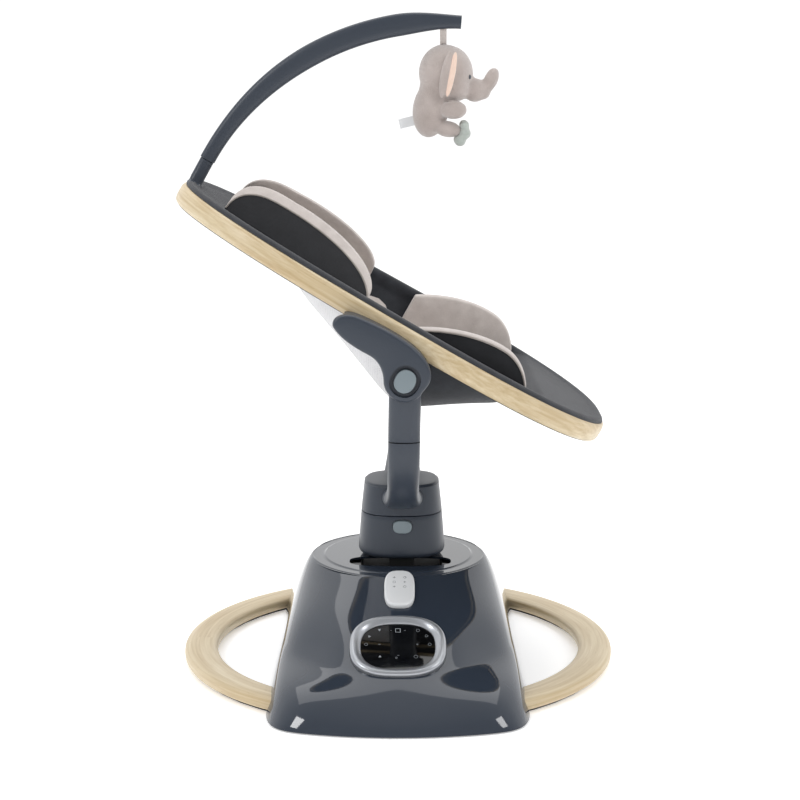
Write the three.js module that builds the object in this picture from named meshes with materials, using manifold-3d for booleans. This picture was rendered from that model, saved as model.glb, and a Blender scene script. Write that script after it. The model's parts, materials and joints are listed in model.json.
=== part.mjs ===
// Electric baby swing: a moulded base on a wooden floor ring carries a swaying hub, a swivelling
// yoke and a reclining oval seat with a toy bar.
// Millimetres, +Z up. +X runs from the head end to the foot end and -Y is the control panel's side.
// The origin is the centre of the floor ring, on the floor.
import * as THREE from "three";
import { mergeVertices } from "three/addons/utils/BufferGeometryUtils.js";
import Module from "manifold-3d";

const wasm = await Module();
wasm.setup();

// Driving dimensions
const gap = 0.3;
const floorRing = { outer: 300, band: 46, low: 2.5, high: 21.5, round: 7, segments: 48 };
const housing = { width: 172.3, length: 334, height: 145, disc: 120, wall: 3, bow: 410 };
const housingCurve = { shoulder: [0.94, 0.69], nose: [1.22, 0.89], corner: [1.85, 10.5, 1.88] };
const scoop = { depth: 0.11, azimuth: 62, spread: 13, level: 0.43, below: 0.1, above: 0.26 };
const plate = { low: 3, high: 6.5, radius: 252 };
const panel = { y: -230.8, z: 85.6, slope: 32.5, width: 62, length: 49, glassWidth: 48, glassLength: 37 };
const remote = { x: 2, y: -145, z: 134.5, slope: 25.8, width: 20.2, length: 34, thick: 9, sunk: 3 };
const slot = { x: 3, y: 44, front: 70, rear: 57, wide: 25.5, shape: 3 };
const post = { front: 17, rear: 12 };
const sway = { x: 5, z: 800, plateIn: 672, plateOut: 678, rack: 684, axle: 690, track: 699, roller: 9 };
const carriageSpan = 4.6;
const gear = { module: 2, pinionTeeth: 16, rackTeeth: 17, thickness: 0.4, tall: 1.7, deep: 2.3 };
const hub = { low: 152, split: 212, top: 255, base: 60, middle: 56, crown: 51, shape: 2.8, wall: 4 };
const swivelButton = { x: 6, z: 198, width: 13, height: 9, front: -61.5, back: -49 };
const arm = { split: 346, thick: 14, width: 20.6, root: 28, shape: 2.6 };
const pivot = { x: 9, y: 204, z: 430.3, lobe: 22.5, bore: 16.3, tube: 16, tubeBore: 9 };
const bracket = { inner: 212.3, outer: 228, recess: 6 };
const rim = { tilt: 29.7, centre: -46, length: 328.5, width: 200, flare: 0.2, shape: 2.6, band: 22 };
const rimHeight = { low: 31, high: 58, round: 6 };
const bucket = { rim: 45, head: -246, hip: 20, foot: 176, depth: 110, skin: 3 };
const liner = { edge: 0.8, lift: 6.5, thick: 12 };
const bar = { base: -361.5, joint: 97, tipX: -155, tipZ: 423.5, thin: 10.5, deep: 14.8, half: 8 };
const toy = { x: 60.3, hook: 853, loop: 5, wire: 1.4 };

const turn = Math.PI / 180;
const power = (value, exponent) => Math.sign(value) * Math.abs(value) ** exponent;
const mix = (a, b, t) => a + (b - a) * t;
const ease = (t) => t * t * (3 - 2 * t);

// Finishes: colour, roughness, metalness
const finishes = {
  ash: [0xcdb691, 0.55, 0],
  slateGloss: [0x3c4450, 0.15, 0],
  slateMatt: [0x42484f, 0.45, 0],
  greyButton: [0x808a8f, 0.4, 0],
  rubber: [0x1d1e20, 0.85, 0],
  darkPlastic: [0x26282c, 0.5, 0],
  silver: [0xb9bcc0, 0.25, 0.8],
  glass: [0x07080a, 0.05, 0],
  whitePlastic: [0xe4e6e8, 0.3, 0],
  steel: [0x9a9da1, 0.35, 1],
  board: [0x1f4a35, 0.6, 0],
  blackCloth: [0x32343a, 0.95, 0],
  greyCloth: [0xc8beb9, 0.95, 0],
  plush: [0xbeb2ae, 1, 0],
};

function material(name) {
  const [color, roughness, metalness] = finishes[name];
  return new THREE.MeshStandardMaterial({ color, roughness, metalness });
}

function addPart(parent, name, geometry, finish) {
  const mesh = new THREE.Mesh(geometry, material(finish));
  mesh.name = name;
  parent.add(mesh);
  return mesh;
}

// Geometry helpers

function signedVolume(points, triangles) {
  let total = 0;
  for (let i = 0; i < triangles.length; i += 3) {
    const [a, b, c] = [0, 1, 2].map((k) => points[triangles[i + k]]);
    total += a[0] * (b[1] * c[2] - b[2] * c[1]);
    total += a[1] * (b[2] * c[0] - b[0] * c[2]);
    total += a[2] * (b[0] * c[1] - b[1] * c[0]);
  }
  return total;
}

function centreOf(ring) {
  const sum = ring.reduce((s, p) => [s[0] + p[0], s[1] + p[1], s[2] + p[2]], [0, 0, 0]);
  return sum.map((value) => value / ring.length);
}

// Skin over a row of rings with the same number of points. Ends are closed, or joined when looped.
function loft(rings, looped = false) {
  const count = rings[0].length;
  const points = rings.flat();
  const triangles = [];
  const bands = looped ? rings.length : rings.length - 1;
  for (let i = 0; i < bands; i += 1) {
    const next = (i + 1) % rings.length;
    for (let j = 0; j < count; j += 1) {
      const k = (j + 1) % count;
      triangles.push(i * count + j, i * count + k, next * count + k);
      triangles.push(i * count + j, next * count + k, next * count + j);
    }
  }
  if (!looped) {
    const last = (rings.length - 1) * count;
    points.push(centreOf(rings[0]), centreOf(rings.at(-1)));
    for (let j = 0; j < count; j += 1) {
      const k = (j + 1) % count;
      triangles.push(points.length - 2, k, j);
      triangles.push(points.length - 1, last + j, last + k);
    }
  }
  if (signedVolume(points, triangles) < 0) {
    triangles.reverse();
  }
  const geometry = new THREE.BufferGeometry();
  geometry.setAttribute("position", new THREE.Float32BufferAttribute(points.flat(), 3));
  geometry.setIndex(triangles);
  geometry.computeVertexNormals();
  return geometry;
}

function toSolid(geometry) {
  const bare = geometry.clone();
  bare.deleteAttribute("normal");
  bare.deleteAttribute("uv");
  const merged = mergeVertices(bare, 1e-4);
  return new wasm.Manifold(new wasm.Mesh({
    numProp: 3,
    vertProperties: new Float32Array(merged.attributes.position.array),
    triVerts: new Uint32Array(merged.index.array),
  }));
}

function toGeometry(solid) {
  const mesh = solid.getMesh();
  const geometry = new THREE.BufferGeometry();
  geometry.setAttribute("position", new THREE.BufferAttribute(new Float32Array(mesh.vertProperties), 3));
  geometry.setIndex([...mesh.triVerts]);
  geometry.computeVertexNormals();
  return geometry;
}

function join(...geometries) {
  return toGeometry(geometries.map(toSolid).reduce((whole, next) => whole.add(next)));
}

function cut(geometry, ...tools) {
  return toGeometry(tools.map(toSolid).reduce((rest, tool) => rest.subtract(tool), toSolid(geometry)));
}

function overlap(first, second) {
  return toGeometry(toSolid(first).intersect(toSolid(second)));
}

// Round rod between two heights of an axis that is parallel to Z or to Y
function rodZ(radius, low, high, x = 0, y = 0, segments = 24) {
  const geometry = new THREE.CylinderGeometry(radius, radius, high - low, segments);
  return geometry.rotateX(Math.PI / 2).translate(x, y, (low + high) / 2);
}

function rodY(radius, low, high, x = 0, z = 0, segments = 24) {
  const geometry = new THREE.CylinderGeometry(radius, radius, high - low, segments);
  return geometry.translate(x, (low + high) / 2, z);
}

function block(x0, x1, y0, y1, z0, z1) {
  const geometry = new THREE.BoxGeometry(x1 - x0, y1 - y0, z1 - z0);
  return geometry.translate((x0 + x1) / 2, (y0 + y1) / 2, (z0 + z1) / 2);
}

// Outline drawn in X and Z, extruded along Y
function sidePrism(outline, low, high) {
  const shape = outline instanceof THREE.Shape ? outline : new THREE.Shape(outline);
  const geometry = new THREE.ExtrudeGeometry(shape, { depth: high - low, bevelEnabled: false });
  return geometry.rotateX(Math.PI / 2).translate(0, high, 0);
}

function ovalRing(a, b, shape, z, segments, x = 0, y = 0) {
  const ring = [];
  for (let i = 0; i < segments; i += 1) {
    const t = (i / segments) * 2 * Math.PI;
    ring.push([x + a * power(Math.cos(t), 2 / shape), y + b * power(Math.sin(t), 2 / shape), z]);
  }
  return ring;
}

// Closed pad of an oval plan; each level is [half width, half length, height]
function ovalStack(levels, shape, segments, x = 0, y = 0) {
  return loft(levels.map(([a, b, z]) => ovalRing(a, b, shape, z, segments, x, y)));
}

function ball(x, y, z, rx, ry, rz, segments = 14) {
  const sphere = new THREE.SphereGeometry(1, segments, Math.round(segments * 0.7));
  return sphere.scale(rx, ry, rz).translate(x, y, z);
}

function turned(profile, segments = 24) {
  const points = profile.map(([r, z]) => new THREE.Vector2(r, z));
  return new THREE.LatheGeometry(points, segments).rotateX(Math.PI / 2);
}

// Corner points of a rounded rectangle, anticlockwise
function roundedRectangle(x0, x1, z0, z1, radius, steps = 1) {
  const corners = [[x1, z0, -90], [x1, z1, 0], [x0, z1, 90], [x0, z0, 180]];
  const points = [];
  for (const [x, z, start] of corners) {
    const cx = x === x1 ? x1 - radius : x0 + radius;
    const cz = z === z1 ? z1 - radius : z0 + radius;
    for (let i = 0; i <= steps; i += 1) {
      const t = (start + (90 * i) / steps) * turn;
      points.push([cx + radius * Math.cos(t), cz + radius * Math.sin(t)]);
    }
  }
  return points;
}

function frameAt(x, y, z, slope) {
  const matrix = new THREE.Matrix4().makeRotationX(slope * turn);
  return matrix.setPosition(x, y, z);
}

// Floor ring

function ringSection(low, grow) {
  const inner = floorRing.outer - floorRing.band - grow;
  return roundedRectangle(inner, floorRing.outer + grow, low, floorRing.high + grow, floorRing.round);
}

function turnedRing(section, segments) {
  const closed = [...section, section[0]];
  return turned(closed.map(([r, z]) => [r, z]), segments);
}

const floorRingSolid = turnedRing(ringSection(floorRing.low, 0), floorRing.segments);
const floorRingRoom = turnedRing(ringSection(-9, 0.7), floorRing.segments);

function floorGrip() {
  const inner = floorRing.outer - floorRing.band + 9;
  const outer = floorRing.outer - 9;
  const low = 0;
  const high = floorRing.low - gap;
  return turned([[inner, low], [outer, low], [outer, high], [inner, high], [inner, low]], 48);
}

// Base housing

function housingRadius(angle, t) {
  const shoulder = Math.max(0, 1 - t ** housingCurve.shoulder[0]) ** housingCurve.shoulder[1];
  const nose = Math.max(0, 1 - t ** housingCurve.nose[0]) ** housingCurve.nose[1];
  const a = mix(housing.disc, housing.width, shoulder);
  const b = mix(housing.disc, housing.length, nose);
  const sharp = housingCurve.corner[0] + housingCurve.corner[1] * (1 - t) ** housingCurve.corner[2];
  const c = Math.abs(Math.cos(angle));
  const s = Math.abs(Math.sin(angle));
  const end = Math.hypot(s / b, (c * (1 - t)) / housing.bow);
  const radius = ((c / a) ** sharp + end ** sharp) ** (-1 / sharp);
  const azimuth = Math.atan2(s, c) / turn;
  const around = (azimuth - scoop.azimuth) / scoop.spread;
  const up = (t - scoop.level) / (t < scoop.level ? scoop.below : scoop.above);
  return radius * (1 - scoop.depth * Math.exp(-(around ** 2) - up ** 2));
}

function housingRing(z, height, shrink, segments) {
  const ring = [];
  for (let i = 0; i < segments; i += 1) {
    const angle = (i / segments) * 2 * Math.PI;
    const radius = housingRadius(angle, Math.min(1, z / height)) - shrink;
    ring.push([radius * Math.cos(angle), radius * Math.sin(angle), z]);
  }
  return ring;
}

const outerLevels = [0.01, 0.12, 0.24, 0.34, 0.44, 0.56, 0.68, 0.8, 0.9, 0.97, 1];
const innerLevels = [0.1, 0.35, 0.6, 0.8, 0.93, 1];

function housingSolid() {
  return loft(outerLevels.map((t) => housingRing(t * housing.height, housing.height, 0, 48)));
}

function housingHollow() {
  const top = housing.height - housing.wall;
  const foot = housingRing(0, top, 4, 36).map(([x, y]) => [x, y, -2]);
  return loft([foot, ...innerLevels.map((t) => housingRing(t * top, top, 6, 36))]);
}

function slotTool(side) {
  const long = side < 0 ? slot.front : slot.rear;
  return ovalStack([[long, slot.wide, 120], [long, slot.wide, 160]], slot.shape, 24, slot.x, side * slot.y);
}

function panelTool(grow, low, high) {
  const size = [panel.width + grow, panel.length + grow];
  const tool = ovalStack([[...size, low], [...size, high]], 2.6, 32);
  return tool.applyMatrix4(frameAt(0, panel.y, panel.z, panel.slope));
}

function remoteTool() {
  const size = [remote.width + 0.5, remote.length + 0.5];
  const pocket = ovalStack([[...size, -remote.sunk - 0.4], [...size, 20]], 3, 24);
  const tool = join(pocket, rodZ(6.4, -6.8, 0, 0, 0, 20));
  return tool.applyMatrix4(frameAt(remote.x, remote.y, remote.z, remote.slope));
}

const bossPlaces = [[-110, -140], [110, -140], [-110, 140], [110, 140]];
const inlet = { radius: 5, z: 14, low: 306, high: 322 };

function housingShell() {
  const solid = housingSolid();
  const tub = block(remote.x - 26, remote.x + 26, -187, -108, 108, 150);
  let shell = cut(solid, housingHollow());
  for (const [x, y] of bossPlaces) {
    const boss = cut(rodZ(6, plate.high + gap, 140, x, y, 10), rodZ(2.2, 0, 26, x, y, 8));
    shell = join(shell, overlap(boss, solid));
  }
  shell = join(shell, overlap(tub, solid));
  const openings = [slotTool(-1), slotTool(1), panelTool(gap, -30, 30), remoteTool()];
  return cut(shell, ...openings, floorRingRoom, rodY(inlet.radius + 0.4, 290, 345, 0, inlet.z, 20));
}

function basePlate() {
  const outline = loft([plate.low, plate.high].map((z) => housingRing(z, housing.height, 9, 48)));
  const round = rodZ(plate.radius, plate.low - 1, plate.high + 1, 0, 0, 48);
  const holes = bossPlaces.map(([x, y]) => rodZ(2.3, 0, 10, x, y, 8));
  return cut(overlap(outline, round), ...holes);
}

function ringClamp(side) {
  const over = floorRing.high + gap + 0.5;
  const top = plate.high + gap;
  const under = [[-205, top], [-244, top], [-244, over], [-286, over]];
  const upper = [[-286, over + 4], [-240, over + 4], [-240, top + 4], [-205, top + 4]];
  const profile = [...under, ...upper].map(([y, z]) => new THREE.Vector2(y * -side, z));
  const geometry = new THREE.ExtrudeGeometry(new THREE.Shape(profile), { depth: 120, bevelEnabled: false });
  return geometry.rotateX(Math.PI / 2).rotateZ(Math.PI / 2).translate(-60, 0, 0);
}

function housingScrew(x, y) {
  return join(rodZ(4, 1, 2.7, x, y, 10), rodZ(2, 2.6, 22, x, y, 8));
}

// Control panel: local Z is the panel's normal

function panelBezel() {
  const { width, length, glassWidth, glassLength } = panel;
  const outside = [[0, -7], [0, 1.5], [0.25, 4.4], [0.6, 4.4]];
  const section = [...outside, [1, 0.4], [1, -1.2], [0.82, -1.2], [0.82, -7]];
  const rings = [];
  for (let i = 0; i < 32; i += 1) {
    const t = (i / 32) * 2 * Math.PI;
    const c = power(Math.cos(t), 2 / 2.6);
    const s = power(Math.sin(t), 2 / 2.6);
    rings.push(section.map(([u, z]) => [mix(width, glassWidth, u) * c, mix(length, glassLength, u) * s, z]));
  }
  return loft(rings, true);
}

function panelGlass() {
  const size = [panel.glassWidth + 1, panel.glassLength + 1];
  return ovalStack([[...size, -4.2], [...size, -1.5]], 2.6, 32);
}

function controlBoard() {
  const board = block(-40, 40, -26, 26, -13, -11.4);
  return join(board, block(-30, -18, -12, 2, -11.5, -8), block(10, 28, -6, 8, -11.5, -9));
}

// Remote control: local Z is the case's normal

function remoteCase() {
  const { width, length, thick, sunk } = remote;
  const top = thick - sunk;
  const levels = [[0.9, -sunk], [1, -sunk + 2], [1, top - 2.5], [0.96, top - 0.7], [0.85, top]];
  return ovalStack(levels.map(([k, z]) => [width * k, length * k, z]), 3, 24);
}

// Drive inside the base

function arcPoint(radius, degreesAlong) {
  const t = degreesAlong * turn;
  return [sway.x + radius * Math.sin(t), sway.z - radius * Math.cos(t)];
}

function arcBand(inner, outer, half, low, high, steps = 10) {
  const points = [];
  for (let i = 0; i <= steps; i += 1) {
    points.push(arcPoint(outer, mix(-half, half, i / steps)));
  }
  for (let i = steps; i >= 0; i -= 1) {
    points.push(arcPoint(inner, mix(-half, half, i / steps)));
  }
  return sidePrism(points.map(([x, z]) => new THREE.Vector2(x, z)), low, high);
}

function rackOutline() {
  const pitch = (gear.module / sway.rack) / turn * Math.PI;
  const count = gear.rackTeeth;
  const points = [];
  for (let i = 0; i < count; i += 1) {
    const middle = (i - (count - 1) / 2) * pitch;
    const wide = pitch * gear.thickness / 2;
    points.push(arcPoint(sway.rack - gear.deep, middle - wide * 1.5));
    points.push(arcPoint(sway.rack + gear.tall, middle - wide * 0.55));
    points.push(arcPoint(sway.rack + gear.tall, middle + wide * 0.55));
    points.push(arcPoint(sway.rack - gear.deep, middle + wide * 1.5));
  }
  const end = (count / 2) * pitch;
  points.push(arcPoint(sway.rack - gear.deep, end), arcPoint(sway.plateOut - 1, end));
  points.push(arcPoint(sway.plateOut - 1, -end), arcPoint(sway.rack - gear.deep, -end));
  return points.map(([x, z]) => new THREE.Vector2(x, z));
}

function pinion() {
  const radius = (gear.module * gear.pinionTeeth) / 2;
  const pitch = 360 / gear.pinionTeeth;
  const centreZ = sway.z - sway.rack - radius;
  const points = [];
  for (let i = 0; i < gear.pinionTeeth; i += 1) {
    const middle = (i + 0.5) * pitch + 90;
    const wide = pitch * gear.thickness / 2;
    const [root, tip] = [radius - gear.deep, radius + gear.tall];
    for (const [r, k] of [[root, -1.5], [tip, -0.55], [tip, 0.55], [root, 1.5]]) {
      const t = (middle + k * wide) * turn;
      points.push(new THREE.Vector2(sway.x + r * Math.cos(t), centreZ + r * Math.sin(t)));
    }
  }
  return join(sidePrism(points, -7, 7), rodY(4, 6, 20, sway.x, centreZ, 16));
}

const driveZ = sway.z - sway.rack - (gear.module * gear.pinionTeeth) / 2;

function gearMotor() {
  const body = join(rodY(18, 12, 42, sway.x, driveZ, 24), rodY(14, 41, 54, sway.x, driveZ, 24));
  return cut(body, rodY(4.4, 11, 22, sway.x, driveZ, 16));
}

function motorBracket() {
  const upright = block(sway.x - 26, sway.x + 26, 8.4, 11.6, plate.high + gap, driveZ + 16);
  const foot = block(sway.x - 26, sway.x + 26, 8.4, 40, plate.high + gap, plate.high + gap + 3);
  return cut(join(upright, foot), rodY(5, 0, 20, sway.x, driveZ, 20));
}

function guideRail(side) {
  const low = side > 0 ? 66 : -78;
  const rail = arcBand(sway.track + gap, sway.track + 7, 8.2, low, low + 12, 14);
  const legs = [-1, 1].map((end) => {
    const x = sway.x + end * 94;
    return block(x - 4, x + 4, low, low + 12, plate.high + gap, sway.z - sway.track + 1);
  });
  return join(rail, ...legs);
}

function mainBoard() {
  return join(block(-60, 40, 110, 170, 12, 13.6), block(-40, -10, 125, 150, 13.5, 24));
}

function speaker() {
  return turned([[0, 8], [30, 8], [30, 12], [16, 24], [16, 30], [0, 30]]).translate(0, -150, 0);
}

function powerInlet() {
  const socket = rodY(inlet.radius - 2, inlet.low + 4, inlet.high + 10, 0, inlet.z, 16);
  return cut(rodY(inlet.radius, inlet.low, inlet.high, 0, inlet.z, 20), socket);
}

// Swaying carriage

const rollerAngle = Math.asin(50 / sway.axle) / turn;

function carriage() {
  const plateBand = arcBand(sway.plateIn, sway.plateOut, carriageSpan, -64, 64, 8);
  const parts = [plateBand, sidePrism(rackOutline(), -7, 7)];
  for (const side of [-1, 1]) {
    const low = side > 0 ? 60 : -64;
    const half = side > 0 ? post.rear : post.front;
    const middle = side * slot.y;
    parts.push(arcBand(sway.plateOut - 1, sway.axle + 5, carriageSpan, low, low + 4, 8));
    parts.push(block(sway.x - half, sway.x + half, middle - 8, middle + 8, 123, hub.low - gap));
    for (const end of [-1, 1]) {
      const [x, z] = arcPoint(sway.axle, end * rollerAngle);
      parts.push(side > 0 ? rodY(3, 63, 79, x, z, 12) : rodY(3, -79, -63, x, z, 12));
    }
  }
  return join(...parts);
}

function roller(side, end) {
  const [x, z] = arcPoint(sway.axle, end * rollerAngle);
  const profile = [[3.3, -5], [sway.roller, -5], [sway.roller, 5], [3.3, 5], [3.3, -5]];
  return turned(profile, 20).rotateX(Math.PI / 2).translate(x, side * 72, z);
}

// Hub

function hubStack(levels, grow = 0) {
  return ovalStack(levels.map(([r, z]) => [r + grow, r + grow, z]), hub.shape, 36, sway.x, 0);
}

function hubRadius(z) {
  if (z < hub.split) {
    return mix(hub.base, hub.middle, (z - hub.low) / (hub.split - hub.low));
  }
  return mix(hub.middle, hub.crown, (z - hub.split) / (hub.top - hub.split));
}

const upperHubLevels = [[hub.middle - 0.4, hub.split + gap], [hubRadius(249), 249],
  [hub.crown - 2, hub.top - 1.2], [hub.crown - 16, hub.top]];

function swivelButtonShape(grow, low, high) {
  const { x, z, width, height } = swivelButton;
  return ovalStack([[width + grow, height + grow, low], [width + grow, height + grow, high]], 2.6, 28)
    .rotateX(Math.PI / 2).translate(x, 0, z);
}

function swingHub() {
  const outer = hubStack([[hub.base - 6, hub.low], [hub.base - 1.5, hub.low + 2], [hub.base, hub.low + 6],
    [hub.middle, hub.split - gap]]);
  const hollow = hubStack([[hub.base - hub.wall - 1, hub.low + 5], [hub.middle - hub.wall, hub.split + 5]]);
  return cut(outer, hollow, swivelButtonShape(0.4, 40, 70));
}

function bearingHousing() {
  const low = hub.low + 5 + gap;
  return turned([[12.4, low], [30, low], [30, 204], [12.4, 204], [12.4, low]]).translate(sway.x, 0, 0);
}

function swivelBearing() {
  const low = 204 + gap;
  const high = hub.split - gap;
  return turned([[12.4, low], [38, low], [38, high], [12.4, high], [12.4, low]]).translate(sway.x, 0, 0);
}

function swivelHub() {
  return cut(hubStack(upperHubLevels), rodZ(12.4, hub.split - 5, 243, sway.x, 0, 32));
}

// Yoke arms

function armRing(x, y, z, tangentY, tangentZ, width, thick) {
  const size = Math.hypot(tangentY, tangentZ);
  const normal = [-tangentZ / size, tangentY / size];
  const ring = ovalRing(width, thick, arm.shape, 0, 16);
  return ring.map(([u, v]) => [x + u, y + v * normal[0], z + v * normal[1]]);
}

function armLoft(side, points, widths) {
  const knots = points.map(([x, y, z]) => new THREE.Vector3(x, side * y, z));
  const path = new THREE.CubicBezierCurve3(...knots);
  const steps = 10;
  const rings = [];
  for (let i = 0; i <= steps; i += 1) {
    const t = i / steps;
    const p = path.getPoint(t);
    const direction = path.getTangent(t);
    const width = mix(widths[0], widths[1], ease(Math.min(1, t * 1.6)));
    rings.push(armRing(p.x, p.y, p.z, direction.y, direction.z, width, arm.thick));
  }
  return loft(rings);
}

function lowerArm(side) {
  const root = [[sway.x + 1, 30, 236], [sway.x + 1, 105, 240]];
  const points = [...root, [sway.x + 2, 190, 275], [sway.x + 3, 190, arm.split - gap]];
  const whole = armLoft(side, points, [arm.root, arm.width]);
  const levels = [[hub.middle + 0.6, hub.split - 30], ...upperHubLevels, [hub.crown - 16, hub.top + gap]];
  return cut(whole, hubStack(levels, 0.4));
}

function upperArm(side) {
  const points = [[sway.x + 3, 190, arm.split + gap], [sway.x + 3, 190, 375], [pivot.x, pivot.y, 388],
    [pivot.x, pivot.y, pivot.z - 8]];
  const stem = armLoft(side, points, [arm.width, arm.width]);
  const [low, high] = [pivot.y - 8, bracket.inner - gap - 0.3].map((y) => side * y).sort((a, b) => a - b);
  const [near, far] = [low - 30, high + 30];
  const lobe = rodY(pivot.lobe, low, high, pivot.x, pivot.z, 28);
  const outside = side > 0 ? [high, far] : [near, low];
  const trim = block(-40, 60, outside[0], outside[1], 380, 470);
  return cut(join(stem, lobe), trim, rodY(pivot.bore, low - 30, high + 30, pivot.x, pivot.z, 24));
}

function pivotTube(side) {
  const [low, high] = [pivot.y - 6, bracket.outer - bracket.recess - gap];
  const profile = [[pivot.tubeBore, low], [pivot.tube, low], [pivot.tube, high], [pivot.tubeBore, high],
    [pivot.tubeBore, low]];
  const tube = turned(profile, 24).rotateX(-Math.PI / 2);
  return (side < 0 ? tube.rotateZ(Math.PI) : tube).translate(pivot.x, 0, pivot.z);
}

// Seat: local X runs down the slope, local Z is the rim's normal, and the origin is the recline axis

function rimPoint(angle, inset, share = 1) {
  const c = power(Math.cos(angle), 2 / rim.shape);
  const s = power(Math.sin(angle), 2 / rim.shape);
  const x = (rim.length - inset) * c * share;
  const y = (rim.width - inset) * (1 + rim.flare * c * share) * s * share;
  return [rim.centre + x, y];
}

function rimLoop(section, segments) {
  const rings = [];
  for (let i = 0; i < segments; i += 1) {
    const angle = (i / segments) * 2 * Math.PI;
    rings.push(section.map(([inset, z]) => [...rimPoint(angle, inset), z]));
  }
  return loft(rings, true);
}

function seatRing() {
  return rimLoop(roundedRectangle(0, rim.band, rimHeight.low, rimHeight.high, rimHeight.round), 60);
}

function seatFrame() {
  const high = rimHeight.low - gap;
  return rimLoop([[4, high - 3], [rim.band - 4, high - 3], [rim.band - 4, high], [4, high]], 40);
}

function rimRoom() {
  const outline = (z) => {
    const ring = [];
    for (let i = 0; i < 60; i += 1) {
      ring.push([...rimPoint((i / 60) * 2 * Math.PI, -0.5), z]);
    }
    return ring;
  };
  return loft([outline(-80), outline(90)]);
}

function bracketOutline() {
  const lobe = 27;
  const shape = new THREE.Shape();
  shape.moveTo(-112, 15);
  shape.bezierCurveTo(-121, 23, -112, 37, -94, 41);
  shape.bezierCurveTo(-68, 45, -38, 46, -17, 43.5);
  shape.bezierCurveTo(7, 40.5, 27, 29, 28, 13);
  shape.bezierCurveTo(28, 4, 26, 2, 26.4, -5.6);
  shape.absarc(0, 0, lobe, -12 * turn, -148 * turn, true);
  shape.bezierCurveTo(-29, -4, -40, 7, -57, 6);
  shape.bezierCurveTo(-85, 5, -102, 9, -112, 15);
  return shape;
}

function seatBracket(side) {
  const outline = new THREE.Shape(bracketOutline().getPoints(6));
  const [low, high] = [bracket.inner, bracket.outer];
  const face = side > 0 ? sidePrism(outline, low, high) : sidePrism(outline, -high, -low);
  const rib = side > 0 ? sidePrism(outline, 150, low + 0.5) : sidePrism(outline, -low - 0.5, -150);
  const band = block(-130, 10, -240, 240, rimHeight.low + 4, 60);
  const outside = cut(overlap(rib, band), rimRoom());
  const recess = ovalStack([[19, 20.5, 0], [19, 20.5, bracket.recess + 5]], 2.2, 24).rotateX(Math.PI / 2);
  recess.translate(0, side > 0 ? high + 5 : -high + bracket.recess, 0);
  return cut(join(face, outside), recess, rodY(pivot.bore, -240, 240, 0, 0, 24));
}

function reclineButton(side) {
  const stem = rodY(pivot.tubeBore - 0.6, pivot.y + 1, bracket.outer - 2.5, 0, 0, 16);
  const levels = [[13.2, 15.2, 0], [13.2, 15.2, 2.6], [11.6, 13.6, 3.6]];
  const face = ovalStack(levels, 2.2, 20).rotateX(-Math.PI / 2);
  face.translate(0, bracket.outer - 2.6, 0);
  const button = join(stem, face);
  return side > 0 ? button : button.rotateZ(Math.PI);
}

function bucketDepth(x) {
  const back = (x - bucket.head) / (bucket.hip - bucket.head);
  const front = (bucket.foot - x) / (bucket.foot - bucket.hip);
  const low = Math.max(0.02, Math.min(back, 2));
  const other = Math.max(0.02, Math.min(front, 2));
  return bucket.depth * (low ** -9 + other ** -9) ** (-1 / 9);
}

function bowlHeight(x, share) {
  return bucket.rim - 4 - bucketDepth(x) * (1 - share ** 5) + 2 * share ** 8;
}

function bowlRing(share, lift, segments = 36) {
  const ring = [];
  for (let i = 0; i < segments; i += 1) {
    const [x, y] = rimPoint((i / segments) * 2 * Math.PI, rim.band + 0.5, share);
    ring.push([x, y, bowlHeight(x, share) + lift]);
  }
  return ring;
}

function bowl(edge, low, high) {
  const shares = [0.12, 0.36, 0.55, 0.72, liner.edge, 0.9, 1].filter((share) => share <= edge);
  const under = shares.map((share) => bowlRing(share, low));
  const edgeHeight = mix(low, high, 0.6);
  const over = shares.map((share, i) => bowlRing(share, i < shares.length - 1 ? high : edgeHeight));
  return loft([...under, ...over.reverse()]);
}

// Top edge of a wing: distance down the seat, height above the recline axis. It leans in as it rises.
const headWing = {
  lean: 0.9,
  edge: [[-304, 64], [-298, 79], [-286, 92], [-268, 103], [-246, 110], [-222, 111], [-194, 110],
    [-165, 107], [-138, 101], [-116, 92], [-100, 80], [-88, 64]],
};
const hipWing = {
  lean: 0.1,
  edge: [[-30, 60], [-14, 67], [8, 76], [42, 87], [76, 92], [104, 90], [126, 81], [140, 71], [147, 60]],
};
const wingFoot = 55;

// Padded wing that stands along the rim's inner edge
function wing({ lean, edge }, side) {
  const rings = edge.map(([x, z]) => {
    const share = (x - rim.centre) / (rim.length - rim.band);
    const angle = Math.acos(power(share, rim.shape / 2));
    const across = (inset) => rimPoint(angle, rim.band + inset)[1] * side;
    const tip = lean * (z - wingFoot);
    const [footOut, footIn, topOut, topIn] = [10, 30, 10 + tip, 28 + tip].map(across);
    const crown = [[x, mix(topOut, topIn, 0.3), z], [x, mix(topOut, topIn, 0.7), z]];
    return [[x, footOut, wingFoot], [x, topOut, z - 3], ...crown, [x, topIn, z - 3], [x, footIn, wingFoot]];
  });
  return loft(rings);
}

// Flat webbing that lies on the liner between two places
function strap(x0, y0, x1, y1, width, thick) {
  const rings = [];
  const steps = 8;
  const lift = bucket.skin + liner.lift + liner.thick + 1.6;
  for (let i = 0; i <= steps; i += 1) {
    const x = mix(x0, x1, i / steps);
    const y = mix(y0, y1, i / steps);
    const share = Math.hypot((x - rim.centre) / (rim.length - rim.band), y / (rim.width - rim.band));
    const z = bowlHeight(x, share) + lift;
    const [left, right] = [y - width / 2, y + width / 2];
    rings.push([[x, left, z], [x, right, z], [x, right, z + thick], [x, left, z + thick]]);
  }
  return loft(rings);
}

const buckleFrame = { x: -35, slope: -20.3, width: 26, length: 30, thick: 11 };

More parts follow.
